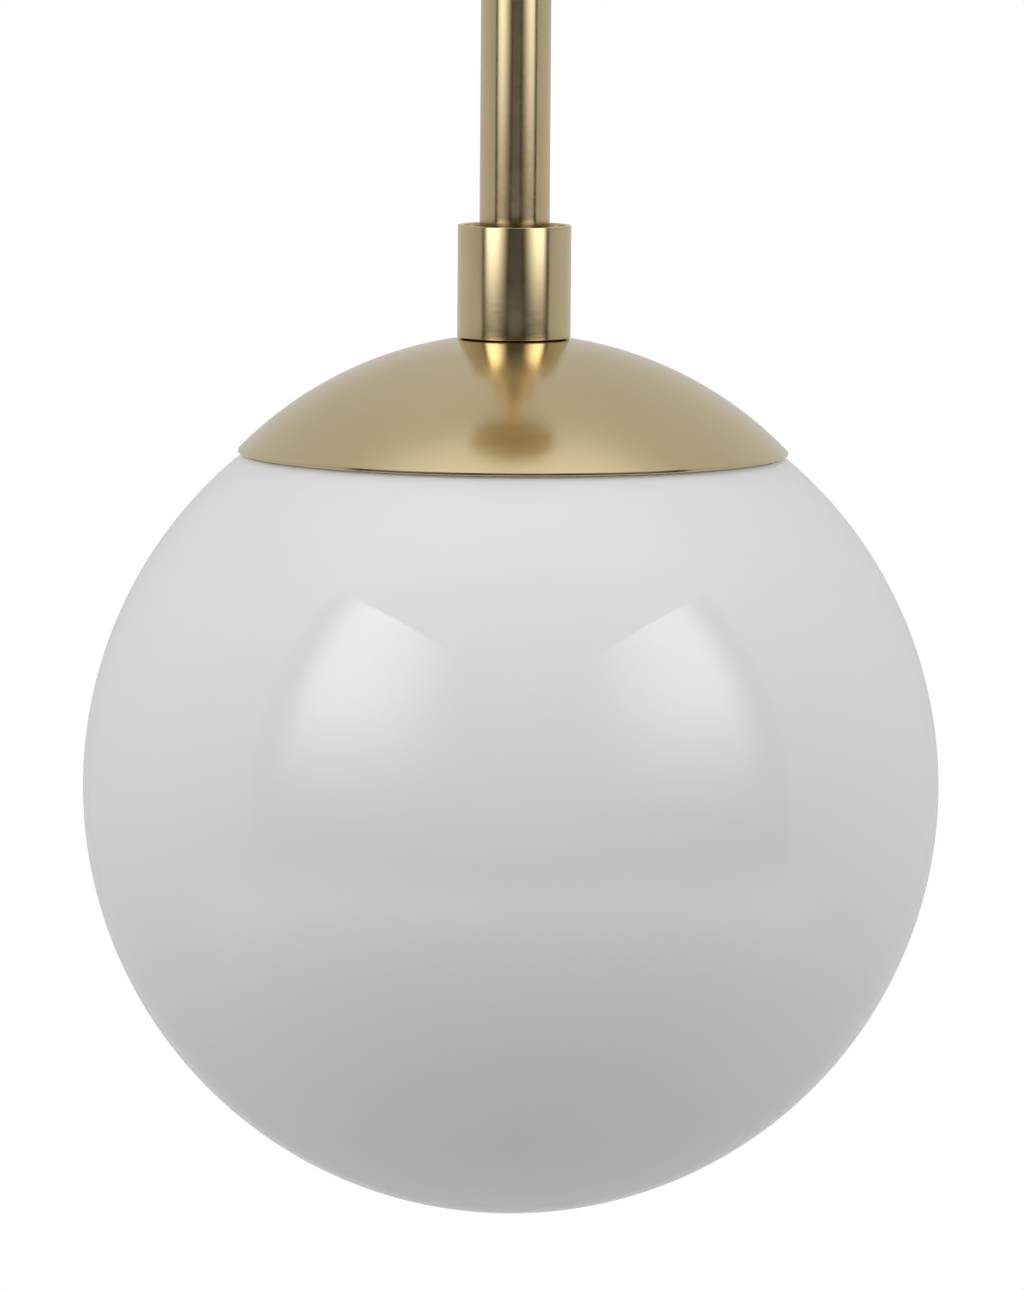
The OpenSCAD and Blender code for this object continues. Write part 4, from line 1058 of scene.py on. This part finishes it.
piece("bulb_housing_moulded", turned([
    (neck - bulb_wall, hou_high.z), (neck, hou_high.z), (neck, base_low.z, 0.1 * mm),
    (base_r + 0.6 * mm, base_low.z, 0.4 * mm), (base_r + 1 * mm, shoulder_z, 1 * mm),
    (seam_r - 0.5 * mm, hou_low.z + 2.4 * mm, 3 * mm),
    (seam_r - 0.05 * mm, hou_low.z + 0.5 * mm, 0.3 * mm),
    (seam_r - 0.1 * mm, hou_low.z, 0.15 * mm), (seam_r - bulb_wall, hou_low.z),
    (base_r - bulb_wall, shoulder_z), (neck - bulb_wall, base_low.z)], steps=128),
    "bulb", white, ["bulb_housing"])
frosted = mottled("frosted_diffuser", (0.86, 0.86, 0.845), 0.0, 0.5, (90, 3),
                  (0.84, 0.84, 0.82), (0.88, 0.88, 0.865), relief=(2600, 2, 0.00003, 0.5),
                  Subsurface_Weight=0.3, Subsurface_Scale=0.004)
dif_low, dif_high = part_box("bulb_diffuser")
bulb_r = dif_high.x
bulb_in = bulb_r - mm
bulb_z = dif_low.z + bulb_r
rim_deg = math.degrees(math.asin((dif_high.z - bulb_z) / bulb_r))
in_rim = math.degrees(math.asin((dif_high.z - bulb_z) / bulb_in))
piece("bulb_diffuser_dome", turned(arc(0, bulb_z, bulb_r, -90, rim_deg, 48)
                                   + arc(0, bulb_z, bulb_in, in_rim, -90, 44),
                                   closed=False, steps=128), "bulb", frosted,
      ["bulb_diffuser"], sharp=60)


def solder_mask(name, colour, rough, scale, shape, low, high, **sockets):
    """Circuit board lacquer, with copper tracks that stand out faintly under it."""
    mat, tree, shader = finish(name, colour, 0.0, rough, **sockets)
    tracks = node(tree, "TexVoronoi", [("Vector", place(tree)), ("Scale", scale)],
                  distance=shape).outputs["Distance"]
    tint(tree, shader, spread(tree, tracks, 0, 1, 0.1, 0.5), low, high)
    bump(tree, shader, tracks, 0.00004, 0.6)
    return mat


mask = solder_mask("white_solder_mask", (0.78, 0.79, 0.78), 0.3, 260, "CHEBYCHEV",
                   (0.70, 0.72, 0.70), (0.82, 0.83, 0.82))
board_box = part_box("bulb_board")
piece("bulb_led_board", ring(board_box, 1.5 * mm, 0.1 * mm), "bulb", mask,
      ["bulb_board"])
phosphor = mottled("led_phosphor", (0.78, 0.66, 0.12), 0.0, 0.35, (900, 3), (0.74, 0.60, 0.09),
                   (0.84, 0.74, 0.20), relief=(3000, 2, 0.00003, 0.6))
led_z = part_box("bulb_leds")[0].z
led_count, led_out = 8, 12.9 * mm
package, dot = 1.4 * mm, 1.1 * mm
chips = []
for k in range(led_count):
    angle = math.radians(360 / led_count * k)
    spot = (led_out * math.cos(angle), led_out * math.sin(angle), 0)
    chips.append(block((-package, -package, led_z + 0.2 * mm),
                       (package, package, board_box[0].z), 0.1 * mm, angle, spot))
    chips.append(block((-dot, -dot, led_z), (dot, dot, led_z + 0.3 * mm), 0.08 * mm, angle,
                       spot))
piece("bulb_led_chips", chips, "bulb", phosphor, ["bulb_leds"])
green_mask = solder_mask("green_solder_mask", (0.012, 0.10, 0.035), 0.25, 420, "MANHATTAN",
                         (0.008, 0.07, 0.025), (0.02, 0.14, 0.05), Coat_Weight=0.4)
piece("bulb_driver_board", block(*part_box("bulb_driver"), 0.1 * mm), "bulb",
      green_mask, ["bulb_driver"])

# ---------------------------------------------------------------------------------------------
# Studio. A long-lens camera a little above the cap's rim, a dim room with two tall soft boxes
# in front to the left and right, each of seamed cloth, a white backdrop and a pale floor below.

camera_data = bpy.data.cameras.new("camera")
camera = bpy.data.objects.new("camera", camera_data)
scene.collection.objects.link(camera)
scene.camera = camera
camera_data.lens = 249.5
camera_data.sensor_width = 36
camera_data.clip_end = 60
elevation = math.radians(6.0)
roll = math.radians(0.4)
distance = 1.6
aim_right, aim_up = 0.23 * mm, 25.1 * mm
turn = Matrix.Rotation(math.pi / 2 - elevation, 3, "X") @ Matrix.Rotation(roll, 3, "Z")
aim = Vector((0, 0, globe_z)) + turn @ Vector((aim_right, aim_up, 0))
camera.location = aim + turn @ Vector((0, 0, distance))
camera.rotation_euler = turn.to_euler()

world = bpy.data.worlds.new("studio")
scene.world = world
world.use_nodes = True
tree = world.node_tree
tree.nodes.clear()


def maths(operation, *values):
    """One step of arithmetic on numbers or links."""
    return node(tree, "Math", list(enumerate(values)), operation=operation).outputs[0]


def ramp(value, start, end, low=0.0, high=1.0):
    """A soft step from low to high as value goes from start to end."""
    made = node(tree, "MapRange", [("Value", value), ("From Min", start), ("From Max", end),
                                   ("To Min", low), ("To Max", high)],
                interpolation_type="SMOOTHSTEP")
    return made.outputs["Result"]


out = node(tree, "OutputWorld")
axes = node(tree, "SeparateXYZ", [(0, node(tree, "TexCoord").outputs["Generated"])])
room = node(tree, "ValToRGB", [("Fac", maths("MULTIPLY_ADD", axes.outputs["Y"], 0.5, 0.5))])
steps = room.color_ramp.elements
steps[1].color = (0.62, 0.62, 0.62, 1)
steps[0].color = (0.06, 0.06, 0.06, 1)
for spot, level in ((0.035, 0.07), (0.12, 0.30), (0.40, 0.46), (0.65, 0.56)):
    steps.new(spot).color = (level, level, level, 1)
over = ramp(axes.outputs["Z"], 0.55, 0.95)
forward = ramp(axes.outputs["Y"], 0.35, -0.15)
above = maths("MULTIPLY", forward, ramp(axes.outputs["Y"], -0.60, -0.25))
ceiling_light, back_light, floor_light = 0.50, 0.04, 1.5
overhead = maths("MULTIPLY_ADD", above, ceiling_light, back_light)
high_light = maths("MULTIPLY_ADD", over, overhead, room.outputs["Color"])
under = maths("MULTIPLY", ramp(axes.outputs["Z"], -0.24, -0.52), forward)
room_light = maths("MULTIPLY_ADD", under, floor_light, high_light)
lit = node(tree, "Background", [("Color", (1, 1, 1, 1)), ("Strength", room_light)])
seen = node(tree, "Background", [("Color", (1, 1, 1, 1)), ("Strength", 1.0)])
ray = node(tree, "LightPath").outputs["Is Camera Ray"]
mix = node(tree, "MixShader", [(0, ray), (1, lit.outputs[0]), (2, seen.outputs[0])])
tree.links.new(mix.outputs[0], out.inputs["Surface"])

box_away = 0.50
box_outer, box_inner, box_low = -0.25, 0.32, -0.12
for name, azimuth, radiance, inner_side, seam_at, outer_top, inner_top in (
        ("left_box", -42, 3.6, 1, -0.098, 0.595, 0.415),
        ("right_box", 48, 3.25, -1, -0.137, 0.55, 0.39)):
    panel = bpy.data.materials.new(name)
    panel.use_nodes = True
    tree = panel.node_tree
    tree.nodes.clear()
    where = node(tree, "SeparateXYZ", [(0, place(tree))])
    inward = maths("MULTIPLY", where.outputs["X"], inner_side)
    across = maths("MULTIPLY", ramp(inward, -0.21, -0.09), ramp(inward, 0.31, -0.04))
    cloth = maths("MULTIPLY", across, ramp(where.outputs["Z"], -0.045, 0.27))
    stitch = ramp(maths("ABSOLUTE", maths("SUBTRACT", inward, seam_at)), 0.0015, 0.0045, 0.6, 1.0)
    glow = maths("MULTIPLY", maths("MULTIPLY", cloth, stitch), radiance)
    lamp = node(tree, "Emission", [("Strength", glow)])
    tree.links.new(lamp.outputs[0], node(tree, "OutputMaterial").inputs["Surface"])
    face = bmesh.new()
    face.faces.new([face.verts.new((inner_side * x, 0, z)) for x, z in (
        (box_outer, box_low), (box_outer, outer_top), (box_inner, inner_top),
        (box_inner, box_low))])
    light = as_object(face, name)
    facing = math.radians(azimuth)
    light.location = (box_away * math.sin(facing), -box_away * math.cos(facing), globe_z)
    light.rotation_euler = (0, 0, facing)
    light.data.materials.append(panel)
    light.visible_camera = False
scene.view_settings.view_transform = "Standard"

floor_r, floor_drop = 1.35, 0.35
fade_from, fade_to = 0.4, 1.3
floor_bm = bmesh.new()
bmesh.ops.create_circle(floor_bm, cap_ends=True, segments=96, radius=floor_r)
bmesh.ops.translate(floor_bm, vec=(0, 0, cad_low.z - floor_drop), verts=floor_bm.verts)
floor = as_object(floor_bm, "floor")
pale = mottled("pale_floor", (0.75, 0.75, 0.71), 0.0, 0.7, (3, 3), (0.73, 0.73, 0.69),
               (0.77, 0.77, 0.73))
tree = pale.node_tree
out_way = node(tree, "VectorMath", [(0, place(tree)), (1, (1, 1, 0))],
               operation="MULTIPLY").outputs[0]
reach = node(tree, "VectorMath", [(0, out_way)], operation="LENGTH").outputs["Value"]
tree.links.new(ramp(reach, fade_from, fade_to, 1.0, 0.0),
               tree.nodes["Principled BSDF"].inputs["Alpha"])
floor.data.materials.append(pale)
